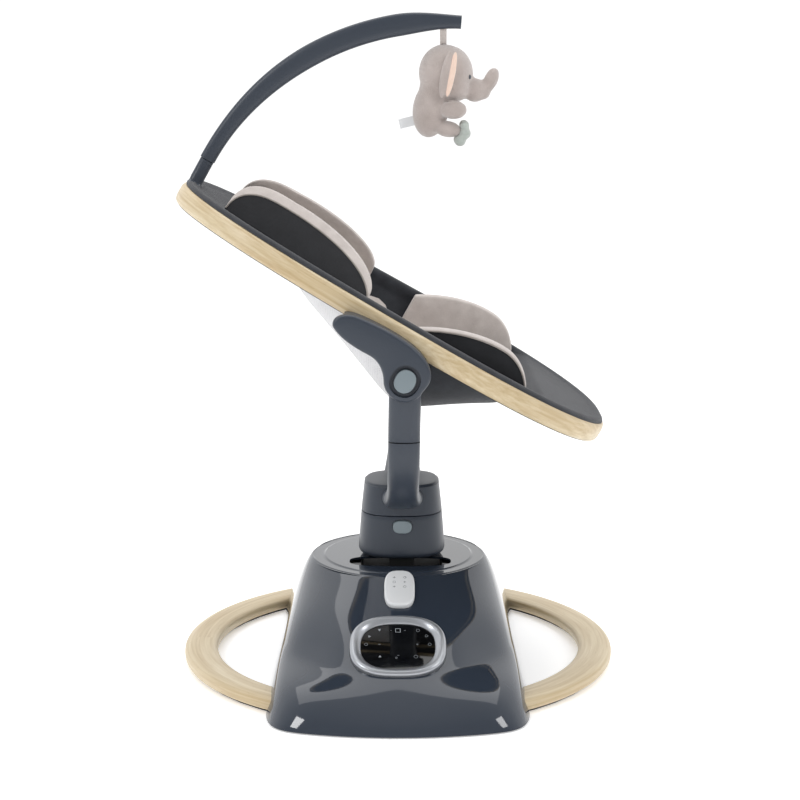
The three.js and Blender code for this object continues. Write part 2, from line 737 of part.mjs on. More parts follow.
function buckleGroup() {
  const place = new THREE.Group();
  const share = (buckleFrame.x - rim.centre) / (rim.length - rim.band);
  const seatTop = bowlHeight(buckleFrame.x, share) + bucket.skin + liner.lift + liner.thick;
  place.position.set(buckleFrame.x, 0, seatTop + 4.5);
  place.rotation.y = -buckleFrame.slope * turn;
  return place;
}

function buckle() {
  const { width, length, thick } = buckleFrame;
  const levels = [[0.93, 0], [1, 2], [1, thick - 3], [0.9, thick]];
  const body = ovalStack(levels.map(([k, z]) => [length * k, width * k, z]), 3.5, 24);
  return cut(body, rodZ(11.4, thick - 6, thick + 2, 0, 0, 20));
}

// Toy bar: one arched bar in the seat's middle plane

function toyBarMount() {
  const x = bar.base;
  const top = rimHeight.high;
  const saddle = ovalStack([[10, 22, top + gap], [10, 22, top + 3], [8, 16, top + 5]], 3, 28, x);
  return join(saddle, ovalStack([[10, 8, top + 2], [10, 8, bar.joint - gap]], 2.4, 28, x));
}

function toyBar() {
  const curve = new THREE.CubicBezierCurve(
    new THREE.Vector2(bar.base, bar.joint + gap),
    new THREE.Vector2(bar.base, bar.joint + 150),
    new THREE.Vector2(bar.tipX - 117, bar.tipZ - 56),
    new THREE.Vector2(bar.tipX, bar.tipZ),
  );
  const rings = [];
  const stations = [0, 0.06, 0.12, 0.2, 0.28, 0.36, 0.44, 0.52, 0.6, 0.68, 0.76, 0.84, 0.92, 0.98, 1];
  for (const t of stations) {
    const p = curve.getPoint(t);
    const d = curve.getTangent(t);
    const taper = 1 - 0.4 * ease(Math.max(0, (t - 0.78) / 0.22));
    const deep = mix(bar.thin, bar.deep, ease(Math.min(1, t * 2))) * taper;
    const half = bar.half * (t === 1 ? 0.7 : 1);
    rings.push(ovalRing(deep, half, 3, 0, 14).map(([u, v]) => [p.x - u * d.y, v, p.y + u * d.x]));
  }
  return loft(rings);
}

// Hook and plush toy, in the row's own axes

function toyHook() {
  const ring = new THREE.TorusGeometry(toy.loop, toy.wire, 6, 16);
  ring.rotateX(Math.PI / 2).rotateZ(Math.PI / 2).translate(toy.x, 0, toy.hook);
  return join(ring, block(toy.x - 3, toy.x + 3, -3, 3, toy.hook + toy.loop, toy.hook + 7.5));
}

function plushToy() {
  const limbs = [];
  for (const side of [-1, 1]) {
    limbs.push(ball(72, side * 24, 762, 20, 10, 11, 8));
    limbs.push(ball(66, side * 17, 737, 17, 11, 11, 8));
    limbs.push(ball(87, side * 17, 731, 10, 10, 15, 8));
    limbs.push(ball(68, side * 33, 806, 13, 5.5, 29, 10));
  }
  const body = [ball(45, 0, 760, 27, 28, 37, 14), ball(64, 0, 811, 36, 33, 34, 16)];
  const trunk = [ball(103, 0, 791, 16, 9, 10, 8), ball(124, 0, 796, 11, 7, 11, 8)];
  const top = toy.hook - toy.loop - toy.wire - gap;
  const loop = block(toy.x - 4.5, toy.x + 4.5, -1.2, 1.2, 838, top);
  return join(...body, ...trunk, ...limbs, loop);
}

// Assembly

const group = new THREE.Group();

addPart(group, "floor_ring", floorRingSolid, "ash");
addPart(group, "floor_grip", floorGrip(), "rubber");
addPart(group, "base_plate", basePlate(), "darkPlastic");
addPart(group, "housing_shell", housingShell(), "slateGloss");
addPart(group, "ring_clamp_front", ringClamp(-1), "steel");
addPart(group, "ring_clamp_rear", ringClamp(1), "steel");
bossPlaces.forEach(([x, y], i) => addPart(group, `housing_screw_${i + 1}`, housingScrew(x, y), "steel"));
addPart(group, "gear_motor", gearMotor(), "steel");
addPart(group, "motor_bracket", motorBracket(), "steel");
addPart(group, "drive_pinion", pinion(), "whitePlastic");
addPart(group, "guide_rail_front", guideRail(-1), "whitePlastic");
addPart(group, "guide_rail_rear", guideRail(1), "whitePlastic");
addPart(group, "main_board", mainBoard(), "board");
addPart(group, "speaker", speaker(), "darkPlastic");
addPart(group, "power_inlet", powerInlet(), "darkPlastic");

const panelGroup = new THREE.Group();
panelGroup.position.set(0, panel.y, panel.z);
panelGroup.rotation.x = panel.slope * turn;
group.add(panelGroup);
addPart(panelGroup, "panel_bezel", panelBezel(), "silver");
addPart(panelGroup, "panel_glass", panelGlass(), "glass");
addPart(panelGroup, "control_board", controlBoard(), "board");

const remoteGroup = new THREE.Group();
remoteGroup.position.set(remote.x, remote.y, remote.z);
remoteGroup.rotation.x = remote.slope * turn;
group.add(remoteGroup);
addPart(remoteGroup, "remote_control", remoteCase(), "whitePlastic");
addPart(remoteGroup, "remote_magnet", rodZ(6, -6.4, -remote.sunk - 0.9, 0, 0, 20), "steel");

addPart(group, "carriage", carriage(), "darkPlastic");
for (const [side, place] of [[-1, "front"], [1, "rear"]]) {
  for (const [end, hand] of [[-1, "left"], [1, "right"]]) {
    addPart(group, `roller_${place}_${hand}`, roller(side, end), "whitePlastic");
  }
}
addPart(group, "swing_hub", swingHub(), "slateMatt");
addPart(group, "swivel_button", swivelButtonShape(0, -swivelButton.back, -swivelButton.front), "greyButton");
addPart(group, "bearing_housing", bearingHousing(), "darkPlastic");
addPart(group, "swivel_bearing", swivelBearing(), "whitePlastic");
addPart(group, "hub_spindle", rodZ(12, hub.low + 5 + gap, 240, sway.x, 0, 32), "steel");
addPart(group, "swivel_hub", swivelHub(), "slateMatt");
for (const [side, place] of [[-1, "front"], [1, "rear"]]) {
  addPart(group, `lower_arm_${place}`, lowerArm(side), "slateMatt");
  addPart(group, `upper_arm_${place}`, upperArm(side), "slateMatt");
  addPart(group, `pivot_tube_${place}`, pivotTube(side), "steel");
}

const seat = new THREE.Group();
seat.position.set(pivot.x, 0, pivot.z);
seat.rotation.y = rim.tilt * turn;
group.add(seat);
addPart(seat, "seat_ring", seatRing(), "ash");
addPart(seat, "seat_frame", seatFrame(), "steel");
addPart(seat, "seat_bucket", bowl(1, 0, bucket.skin), "blackCloth");
const linerLow = bucket.skin + liner.lift;
addPart(seat, "seat_liner", bowl(liner.edge, linerLow, linerLow + liner.thick), "greyCloth");
for (const [side, place] of [[-1, "front"], [1, "rear"]]) {
  addPart(seat, `seat_bracket_${place}`, seatBracket(side), "slateMatt");
  addPart(seat, `recline_button_${place}`, reclineButton(side), "greyButton");
  addPart(seat, `head_wing_${place}`, wing(headWing, side), "greyCloth");
  addPart(seat, `hip_wing_${place}`, wing(hipWing, side), "greyCloth");
  addPart(seat, `shoulder_strap_${place}`, strap(-215, side * 50, -66, side * 22, 25, 2), "blackCloth");
}
const buckleSeat = buckleGroup();
seat.add(buckleSeat);
addPart(buckleSeat, "buckle", buckle(), "darkPlastic");
const buttonLow = buckleFrame.thick - 3;
addPart(buckleSeat, "buckle_button", rodZ(11, buttonLow, buttonLow + 4, 0, 0, 20), "greyButton");
addPart(seat, "toy_bar_mount", toyBarMount(), "slateMatt");
addPart(seat, "toy_bar", toyBar(), "slateMatt");

addPart(group, "toy_hook", toyHook(), "slateMatt");
addPart(group, "plush_toy", plushToy(), "plush");

export default group;
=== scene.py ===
import json
import math

import bpy
from mathutils import Matrix, Vector


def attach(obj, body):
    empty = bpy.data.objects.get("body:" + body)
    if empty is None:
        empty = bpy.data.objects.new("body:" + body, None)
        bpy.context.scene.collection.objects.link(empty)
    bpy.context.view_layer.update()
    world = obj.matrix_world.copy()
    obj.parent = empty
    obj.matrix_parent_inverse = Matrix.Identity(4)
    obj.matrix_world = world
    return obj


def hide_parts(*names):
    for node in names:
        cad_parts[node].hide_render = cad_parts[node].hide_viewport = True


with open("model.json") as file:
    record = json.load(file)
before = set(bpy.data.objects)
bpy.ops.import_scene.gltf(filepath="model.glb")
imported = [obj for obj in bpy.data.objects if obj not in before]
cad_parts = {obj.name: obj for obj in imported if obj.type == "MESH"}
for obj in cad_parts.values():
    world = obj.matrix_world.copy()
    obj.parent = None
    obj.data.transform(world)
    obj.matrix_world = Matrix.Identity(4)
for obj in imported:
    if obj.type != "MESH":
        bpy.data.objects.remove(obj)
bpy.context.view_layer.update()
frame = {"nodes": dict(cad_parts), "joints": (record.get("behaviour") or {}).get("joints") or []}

mm = 0.001

# Small helpers


def clear():
    if bpy.context.object and bpy.context.object.mode != "OBJECT":
        bpy.ops.object.mode_set(mode="OBJECT")
    bpy.ops.object.select_all(action="DESELECT")


def pick(*objects):
    clear()
    for obj in objects:
        obj.select_set(True)
    bpy.context.view_layer.objects.active = objects[0]


def named(name):
    obj = bpy.context.object
    obj.name = name
    obj.data.name = name
    return obj


def settle(obj):
    pick(obj)
    bpy.ops.object.transform_apply(location=True, rotation=True, scale=True)
    return obj


def useModifier(obj, kind, **settings):
    pick(obj)
    modifier = obj.modifiers.new(kind.title(), kind)
    for key, value in settings.items():
        setattr(modifier, key, value)
    bpy.ops.object.modifier_apply(modifier=modifier.name)
    return obj


def booleans(obj, cutters, operation="DIFFERENCE"):
    for cutter in cutters:
        useModifier(obj, "BOOLEAN", object=cutter, operation=operation, solver="EXACT")
        bpy.data.objects.remove(cutter)
    return obj


def joined(objects, name):
    pick(*objects)
    bpy.ops.object.join()
    return named(name)


def mergeAndTurnOut(obj, distance=0.00002):
    pick(obj)
    bpy.ops.object.mode_set(mode="EDIT")
    bpy.ops.mesh.select_all(action="SELECT")
    bpy.ops.mesh.remove_doubles(threshold=distance)
    bpy.ops.mesh.normals_make_consistent(inside=False)
    bpy.ops.object.mode_set(mode="OBJECT")
    return obj


def finishPiece(obj, materials, body, replaces=(), angle=35):
    shades = [polygon.material_index for polygon in obj.data.polygons]
    obj.data.materials.clear()
    for material in materials if isinstance(materials, (list, tuple)) else [materials]:
        obj.data.materials.append(material)
    obj.data.polygons.foreach_set("material_index", shades)
    pick(obj)
    bpy.ops.object.shade_smooth_by_angle(angle=math.radians(angle))
    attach(obj, body)
    if replaces:
        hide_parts(*replaces)
    return obj


def power(value, exponent):
    return math.copysign(abs(value) ** exponent, value)


def mix(a, b, t):
    return a + (b - a) * t


def ease(t):
    t = min(1, max(0, t))
    return t * t * (3 - 2 * t)


def bell(distance, width):
    return math.exp(-(distance / width) ** 2)


def oval(angle, a, b, shape):
    return a * power(math.cos(angle), 2 / shape), b * power(math.sin(angle), 2 / shape)


# A grid is rolled into a skin: rule gives the place in millimetres for u around and v along,
# and shade may give the number of the material of the face at (u, v)
def skin(name, around, along, rule, matrix=None, shade=None):
    clear()
    bpy.ops.mesh.primitive_grid_add(x_subdivisions=around, y_subdivisions=along, size=2)
    obj = named(name)
    if shade:
        for polygon in obj.data.polygons:
            polygon.material_index = shade((polygon.center.x + 1) / 2, (polygon.center.y + 1) / 2)
    for vertex in obj.data.vertices:
        point = Vector(rule((vertex.co.x + 1) / 2, (vertex.co.y + 1) / 2))
        vertex.co = (matrix @ point if matrix else point) * mm
    return mergeAndTurnOut(obj)


# Stack of ovals with closed ends: levels are (half width, half length, height)
def ovalStack(name, levels, shape, matrix=None, around=96, x=0, y=0):
    rows = [(0, 0, levels[0][2])] + list(levels) + [(0, 0, levels[-1][2])]

    def rule(u, v):
        a, b, z = rows[round(v * (len(rows) - 1))]
        px, py = oval(u * 2 * math.pi, a, b, shape)
        return (x + px, y + py, z)

    return skin(name, around, len(rows) - 1, rule, matrix)


def roundedLevels(a, b, low, high, lowRound, highRound, steps=5):
    levels = []
    for i in range(steps + 1):
        t = math.radians(90 * i / steps)
        inset = lowRound * (1 - math.sin(t))
        levels.append((a - inset, b - inset, low + lowRound * (1 - math.cos(t))))
    for i in range(steps + 1):
        t = math.radians(90 * i / steps)
        inset = highRound * (1 - math.cos(t))
        levels.append((a - inset, b - inset, high - highRound * (1 - math.sin(t))))
    return levels


# Closed ring: path gives (point, outward, up) for u, and the section is an oval of half sizes a and b
def ringSkin(name, around, section, path, a, b, shape, matrix=None):
    def rule(u, v):
        point, outward, up = path(u * 2 * math.pi)
        across, rise = oval(v * 2 * math.pi, a, b, shape)
        return point + outward * across + up * rise

    return skin(name, around, section, rule, matrix)


def bezier(p0, p1, p2, p3, t):
    s = 1 - t
    return p0 * s ** 3 + p1 * 3 * s * s * t + p2 * 3 * s * t * t + p3 * t ** 3


def bezierTurn(p0, p1, p2, p3, t):
    s = 1 - t
    return ((p1 - p0) * s * s + (p2 - p1) * 2 * s * t + (p3 - p2) * t * t).normalized()


# Round-ended bar along a curve; size(t) gives the two half sizes
def bar(name, points, side, size, shape, around=48, along=64, cap=0.03, matrix=None):
    def rule(u, v):
        t = min(1, max(0, (v - cap) / (1 - 2 * cap)))
        toEnd = min(v, 1 - v, cap) / cap
        shrink = math.sqrt(max(0, 1 - (1 - toEnd) ** 2))
        centre = bezier(*points, t)
        up = bezierTurn(*points, t).cross(side).normalized()
        wide, thick = size(t)
        a, b = oval(u * 2 * math.pi, wide, thick, shape)
        return centre + side * a * shrink + up * b * shrink

    return skin(name, around, along, rule, matrix)


# Thin tube or ribbon through a list of points, with closed ends; half sizes a, across side, and b
def tube(name, points, side, a, b, matrix=None, around=10, shape=2):
    rows = [points[0]] + list(points) + [points[-1]]
    last = len(points) - 1

    def rule(u, v):
        row = round(v * (len(rows) - 1))
        if row in (0, len(rows) - 1):
            return rows[row]
        i = row - 1
        forward = (points[min(last, i + 1)] - points[max(0, i - 1)]).normalized()
        up = forward.cross(side).normalized()
        across, rise = oval(u * 2 * math.pi, a, b, shape)
        return points[i] + up.cross(forward) * across + up * rise

    return skin(name, around, len(rows) - 1, rule, matrix)


def cylinder(name, radius, depth, place, axis="Z", vertices=64):
    clear()
    turns = {"Z": (0, 0, 0), "Y": (math.pi / 2, 0, 0), "X": (0, math.pi / 2, 0)}
    bpy.ops.mesh.primitive_cylinder_add(vertices=vertices, radius=radius * mm, depth=depth * mm,
                                        location=[c * mm for c in place], rotation=turns[axis])
    return settle(named(name))


def box(name, low, high):
    clear()
    bpy.ops.mesh.primitive_cube_add(size=1)
    obj = named(name)
    obj.location = [(a + b) / 2 * mm for a, b in zip(low, high)]
    obj.scale = [(b - a) * mm for a, b in zip(low, high)]
    return settle(obj)


def ball(name, place, radii, turn=0):
    clear()
    bpy.ops.mesh.primitive_uv_sphere_add(segments=32, ring_count=20, radius=mm)
    obj = named(name)
    obj.scale = radii
    obj.rotation_euler = (0, math.radians(turn), 0)
    obj.location = [c * mm for c in place]
    return settle(obj)


# Foam swells under its cover: pressure, with the seams held, and no point moves further than cap
def puff(obj, pressure, cap, held=None):
    start = [vertex.co.copy() for vertex in obj.data.vertices]
    pick(obj)
    cloth = obj.modifiers.new("Cloth", "CLOTH")
    cloth.settings.use_pressure = True
    cloth.settings.uniform_pressure_force = pressure
    cloth.settings.effector_weights.gravity = 0
    cloth.settings.quality = 6
    if held:
        group = obj.vertex_groups.new(name="seams")
        group.add([i for i, co in enumerate(start) if held(co)], 1.0, "REPLACE")
        cloth.settings.vertex_group_mass = "seams"
    for step in range(1, 21):
        bpy.context.scene.frame_set(step)
    bpy.ops.object.modifier_apply(modifier="Cloth")
    bpy.context.scene.frame_set(1)
    for vertex, old in zip(obj.data.vertices, start):
        move = vertex.co - old
        if move.length > cap * mm:
            vertex.co = old + move.normalized() * cap * mm
    useModifier(obj, "SUBSURF", levels=1, render_levels=1)
    return obj


# Materials


def colour(code):
    values = [int(code[i:i + 2], 16) / 255 for i in (1, 3, 5)]
    linear = [v / 12.92 if v <= 0.04045 else ((v + 0.055) / 1.055) ** 2.4 for v in values]
    return (*linear, 1.0)


# Adds a node with its settings; an input may be a value, a socket, or a node whose first output is linked
def node(tree, kind, inputs=None, stops=(), **settings):
    made = tree.nodes.new(kind)
    for key, value in settings.items():
        setattr(made, key, value)
    for key, value in (inputs or {}).items():
        if isinstance(value, bpy.types.Node):
            value = value.outputs[0]
        if isinstance(value, bpy.types.NodeSocket):
            tree.links.new(value, made.inputs[key])
        else:
            made.inputs[key].default_value = value
    for i, (place, shade) in enumerate(stops):
        elements = made.color_ramp.elements
        element = elements[i] if i < 2 else elements.new(place)
        element.position = place
        element.color = colour(shade)
    return made


def blank(name):
    material = bpy.data.materials.new(name)
    material.use_nodes = True
    material.node_tree.nodes.clear()
    tree = material.node_tree
    return material, tree, node(tree, "ShaderNodeTexCoord").outputs["Object"]


def surface(tree, inputs):
    shader = node(tree, "ShaderNodeBsdfPrincipled", inputs)
    node(tree, "ShaderNodeOutputMaterial", {"Surface": shader})


# Bent ash under satin lacquer: fine straight grain follows the bend, in broad soft bands, with short pores.
# Growth lines are about 4 mm apart and pores 1 mm, a little coarser than real ones so that they show
def ashWood(name, centre, tilt, stretch):
    material, tree, place = blank(name)
    move = node(tree, "ShaderNodeVectorMath", {0: place, 1: centre}, operation="SUBTRACT")
    flat = node(tree, "ShaderNodeVectorRotate", {"Vector": move, "Axis": (0, 1, 0), "Angle": -tilt},
                rotation_type="AXIS_ANGLE")
    parts = node(tree, "ShaderNodeSeparateXYZ", {0: flat})
    across = node(tree, "ShaderNodeMath", {0: parts.outputs["Y"], 1: stretch}, operation="MULTIPLY")
    angle = node(tree, "ShaderNodeMath", {0: across, 1: parts.outputs["X"]}, operation="ARCTAN2")
    level = node(tree, "ShaderNodeCombineXYZ", {"X": parts.outputs["X"], "Y": across})
    radius = node(tree, "ShaderNodeVectorMath", {0: level}, operation="LENGTH").outputs["Value"]
    grain = {}
    for kind, along, wide in (("lines", 2.2, 240), ("bands", 1.2, 42), ("pores", 34, 1000)):
        polar = node(tree, "ShaderNodeCombineXYZ", {"X": angle, "Y": radius, "Z": parts.outputs["Z"]})
        scaled = node(tree, "ShaderNodeVectorMath", {0: polar, 1: (along, wide, wide)}, operation="MULTIPLY")
        grain[kind] = node(tree, "ShaderNodeTexNoise", {"Vector": scaled, "Scale": 1.0, "Detail": 4.0,
                                                        "Roughness": 0.55})
    base = node(tree, "ShaderNodeValToRGB", {"Fac": grain["lines"]},
                [(0.32, "#CBB791"), (0.68, "#E4D6B9"), (0.5, "#D8C7A5")])
    bands = node(tree, "ShaderNodeValToRGB", {"Fac": grain["bands"]}, [(0.3, "#E2D6C2"), (0.7, "#FFFFFF")])
    pores = node(tree, "ShaderNodeValToRGB", {"Fac": grain["pores"]}, [(0.26, "#B49E78"), (0.36, "#FFFFFF")])
    toned = node(tree, "ShaderNodeMix", {"Factor": 0.75, 6: base, 7: bands}, data_type="RGBA",
                 blend_type="MULTIPLY")
    final = node(tree, "ShaderNodeMix", {"Factor": 0.5, 6: toned.outputs[2], 7: pores}, data_type="RGBA",
                 blend_type="MULTIPLY")
    relief = node(tree, "ShaderNodeBump", {"Height": grain["lines"], "Strength": 0.2, "Distance": 0.0004})
    surface(tree, {"Base Color": final.outputs[2], "Normal": relief, "Roughness": 0.42, "IOR": 1.5,
                   "Coat Weight": 0.25, "Coat Roughness": 0.3})
    return material


# Moulded plastic: an even colour, a roughness that drifts as the tool was polished, and a fine eroded grain
def mouldedPlastic(name, shade, roughness, grain=1400.0, strength=0.08, coat=0.0):
    material, tree, place = blank(name)
    drift = node(tree, "ShaderNodeTexNoise", {"Vector": place, "Scale": 14.0, "Detail": 3.0})
    rough = node(tree, "ShaderNodeMapRange", {"Value": drift, "To Min": roughness * 0.85,
                                              "To Max": roughness * 1.15})
    fine = node(tree, "ShaderNodeTexNoise", {"Vector": place, "Scale": grain, "Detail": 2.0})
    relief = node(tree, "ShaderNodeBump", {"Height": fine, "Strength": strength, "Distance": 0.0002})
    surface(tree, {"Base Color": colour(shade), "Roughness": rough, "Normal": relief, "IOR": 1.5,
                   "Coat Weight": coat, "Coat Roughness": 0.04})
    return material


# Woven or knitted cloth: thread is the spacing of the threads in metres, drawn coarse enough to show
def wovenCloth(name, dark, light, thread, sheen=0.3, strength=0.5, wear=60.0):
    material, tree, place = blank(name)
    turned = node(tree, "ShaderNodeVectorMath", {0: place, "Scale": 2 * math.pi / thread}, operation="SCALE")
    waves = node(tree, "ShaderNodeVectorMath", {0: turned}, operation="SINE")
    parts = node(tree, "ShaderNodeSeparateXYZ", {0: waves})
    first = node(tree, "ShaderNodeMath", {0: parts.outputs["X"], 1: parts.outputs["Y"]}, operation="MULTIPLY")
    second = node(tree, "ShaderNodeMath", {0: parts.outputs["Y"], 1: parts.outputs["Z"]},
                  operation="MULTIPLY")
    weave = node(tree, "ShaderNodeMath", {0: first, 1: second}, operation="ADD")
    fuzz = node(tree, "ShaderNodeTexNoise", {"Vector": place, "Scale": 900.0, "Detail": 2.0})
    soft = node(tree, "ShaderNodeTexNoise", {"Vector": place, "Scale": wear, "Detail": 4.0})
    height = node(tree, "ShaderNodeMath", {0: weave, 1: 0.25, 2: fuzz}, operation="MULTIPLY_ADD")
    tone = node(tree, "ShaderNodeMix", {0: 0.4, 2: soft, 3: fuzz})
    shades = node(tree, "ShaderNodeValToRGB", {"Fac": tone}, [(0.3, dark), (0.7, light)])
    relief = node(tree, "ShaderNodeBump", {"Height": height, "Strength": strength, "Distance": thread * 0.4})
    surface(tree, {"Base Color": shades, "Normal": relief, "Roughness": 0.9, "IOR": 1.45,
                   "Sheen Weight": sheen, "Sheen Roughness": 0.5})
    return material


# Open spacer mesh: a light knitted grid whose holes, a pitch apart, show as darker dots
def spacerMesh(name, light, hole, pitch):
    material, tree, place = blank(name)
    cells = node(tree, "ShaderNodeTexVoronoi", {"Vector": place, "Scale": 1 / pitch, "Randomness": 0.15})
    dots = node(tree, "ShaderNodeValToRGB", {"Fac": cells}, [(0.18, hole), (0.34, light)])
    relief = node(tree, "ShaderNodeBump", {"Height": cells, "Strength": 0.6, "Distance": pitch * 0.3})
    surface(tree, {"Base Color": dots, "Normal": relief, "Roughness": 0.8, "IOR": 1.45, "Sheen Weight": 0.2})
    return material


# Rolled or lacquered metal: fine lines from the rolling change how wide its highlight is
def metal(name, shade, roughness, metallic=1.0):
    material, tree, place = blank(name)
    drawn = node(tree, "ShaderNodeVectorMath", {0: place, 1: (60, 900, 900)}, operation="MULTIPLY")
    lines = node(tree, "ShaderNodeTexNoise", {"Vector": drawn, "Scale": 1.0, "Detail": 3.0})
    rough = node(tree, "ShaderNodeMapRange", {"Value": lines, "To Min": roughness * 0.8,
                                              "To Max": roughness * 1.25})
    surface(tree, {"Base Color": colour(shade), "Metallic": metallic, "Roughness": rough})
    return material


pivot = Vector(next(j for j in frame["joints"] if j["name"] == "recline")["pos_m"]) / mm
barAxis = Vector(next(j for j in frame["joints"] if j["name"] == "toy_bar_swing")["axis"])
tilt = math.atan2(barAxis.x, barAxis.z)
seatPlace = Matrix.Translation(pivot) @ Matrix.Rotation(tilt, 4, "Y")
rim = {"centre": -46, "length": 328.5, "width": 200, "flare": 0.2, "shape": 2.6, "band": 22, "low": 31,
       "high": 58}
rimCentre = seatPlace @ Vector((rim["centre"], 0, 45))

paint = {
    "ringAsh": ashWood("bentAshRing", (0, 0, 0.012), 0.0, 1.0),
    "rimAsh": ashWood("bentAshRim", tuple(rimCentre * mm), tilt, 1.6),
    "gloss": mouldedPlastic("glossAbsSlate", "#303844", 0.06, 90.0, 0.02, 0.4),
    "satin": mouldedPlastic("satinAbsSlate", "#353C47", 0.38, 2600.0, 0.1),
    "button": mouldedPlastic("satinAbsGrey", "#7C888E", 0.4, 2600.0, 0.08),
    "rubber": mouldedPlastic("mouldedRubber", "#17181A", 0.75, 1500.0, 0.2),
    "white": mouldedPlastic("whiteAbs", "#E6E8EA", 0.28, 2600.0, 0.04),
    "dark": mouldedPlastic("blackPolypropylene", "#131417", 0.5, 2000.0, 0.12),
    # near-black painted shade: the carriage and base plate inside the housing are coloured so that the slot
    # reads dark
    "shadeInHousing": mouldedPlastic("nylonPaintedShade", "#08090A", 0.7, 2000.0, 0.1),
    "acetal": mouldedPlastic("naturalAcetal", "#DCDCD6", 0.35, 2600.0, 0.05),
    "glass": mouldedPlastic("blackAcrylic", "#050506", 0.03, 60.0, 0.0, 0.3),
    "silver": metal("silverLacquer", "#B4B7BC", 0.3, 0.75),
    "steel": metal("zincSteel", "#8F9296", 0.35),
    "print": mouldedPlastic("greyPrint", "#9EA4A9", 0.5, 800.0, 0.0),
    "ink": mouldedPlastic("darkPrint", "#5A5F65", 0.5, 800.0, 0.0),
    "board": mouldedPlastic("solderMask", "#1F4A35", 0.4, 700.0, 0.2),
    "blackCloth": wovenCloth("blackTwill", "#24262B", "#35383E", 0.0011, 0.2),
    # a darker copy of the black cloth: painted shade for the wings' outer sides
    "shadedBlackCloth": wovenCloth("blackClothPaintedShade", "#141519", "#1E1F23", 0.0011, 0.12),
    "greyCloth": wovenCloth("greyJersey", "#BDB4AF", "#D3CBC6", 0.0014, 0.4, 0.35),
    "piping": wovenCloth("greyPiping", "#8D857F", "#A79F99", 0.0009, 0.3, 0.4),
    "webbing": wovenCloth("blackWebbing", "#17181A", "#26272A", 0.0016, 0.2, 0.8),
    "mesh": spacerMesh("whiteSpacerMesh", "#DEDEE0", "#A9A9AE", 0.0024),
    "plush": wovenCloth("greyPlush", "#B0A49E", "#C9BDB8", 0.0016, 0.8, 0.9, 35.0),
    "peach": wovenCloth("peachPlush", "#EFCFBC", "#FBE2D2", 0.0016, 0.6, 0.6),
    "sage": wovenCloth("sagePlush", "#AEB6B0", "#C8CFC8", 0.0016, 0.8, 0.8),
}
print("materials ready")

# Camera and light

studio = {
    "lens": 80.7, "place": (0.0027, -2.436, 0.8263), "down": 10.75,
    "behind": 1.1, "before": 0.42,      # how bright the air is behind the swing and on the camera's side
    "lights": [("topBox", (0, 0.6, 2.6), (0, 0.6, 0), 3.0, 2.2, 24),
               ("leftBox", (-1.6, -1.5, 1.9), (0, 0, 0.3), 0.5, 0.9, 14),
               ("rightBox", (1.8, -1.4, 1.9), (0, 0, 0.3), 0.5, 0.9, 10)],
    "floorGlow": 0.34,
}


def setStudio():
    clear()
    bpy.ops.object.camera_add(location=studio["place"], rotation=(math.radians(90 - studio["down"]), 0, 0))
    camera = bpy.context.object
    camera.data.lens = studio["lens"]
    camera.data.sensor_width = 36
    bpy.context.scene.camera = camera
    bpy.context.scene.view_settings.view_transform = "Standard"
    world = bpy.data.worlds.new("studioAir")
    bpy.context.scene.world = world
    world.use_nodes = True
    air = world.node_tree
    air.nodes.clear()
    direction = node(air, "ShaderNodeTexCoord").outputs["Generated"]
    parts = node(air, "ShaderNodeSeparateXYZ", {0: direction})
    strength = node(air, "ShaderNodeMapRange", {
        "Value": parts.outputs["Y"], "From Min": -0.5, "From Max": 0.3,
        "To Min": studio["before"], "To Max": studio["behind"]})
    sky = node(air, "ShaderNodeBackground", {"Color": (1, 1, 1, 1), "Strength": strength})
    node(air, "ShaderNodeOutputWorld", {"Surface": sky})
    for name, place, target, wide, tall, energy in studio["lights"]:
        clear()
        bpy.ops.object.light_add(type="AREA", location=place)
        lamp = bpy.context.object
        lamp.name = name
        lamp.data.shape = "RECTANGLE"
        lamp.data.size = wide
        lamp.data.size_y = tall
        lamp.data.energy = energy
        lamp.rotation_euler = (Vector(target) - Vector(place)).to_track_quat("-Z", "Y").to_euler()
    clear()
    bpy.ops.mesh.primitive_plane_add(size=16, location=(0, 3, -0.0004))
    floor = settle(named("floor"))
    pale, tree, place = blank("paleFloor")
    wide = node(tree, "ShaderNodeTexNoise", {"Vector": place, "Scale": 0.6})
    shades = node(tree, "ShaderNodeValToRGB", {"Fac": wide}, [(0.0, "#F8F8F8"), (1.0, "#FAFAFA")])
    surface(tree, {"Base Color": shades, "Roughness": 0.8, "Emission Color": (1, 1, 1, 1),
                   "Emission Strength": studio["floorGlow"]})
    floor.data.materials.append(pale)


setStudio()
print("studio ready")

# Base: floor ring, housing, panel, remote

floorRing = {"outer": 300, "band": 46, "low": 2.5, "high": 21.5, "shape": 3.4}


def floorRingPath(height):
    middle = floorRing["outer"] - floorRing["band"] / 2

    def path(angle):
        outward = Vector((math.cos(angle), math.sin(angle), 0))
        return outward * middle + Vector((0, 0, height)), outward, Vector((0, 0, 1))

    return path


def makeFloorRing():
    half = (floorRing["high"] - floorRing["low"]) / 2
    path = floorRingPath((floorRing["low"] + floorRing["high"]) / 2)
    ring = ringSkin("floorRing", 256, 40, path, floorRing["band"] / 2, half, floorRing["shape"])
    finishPiece(ring, paint["ringAsh"], "base", ["floor_ring"])


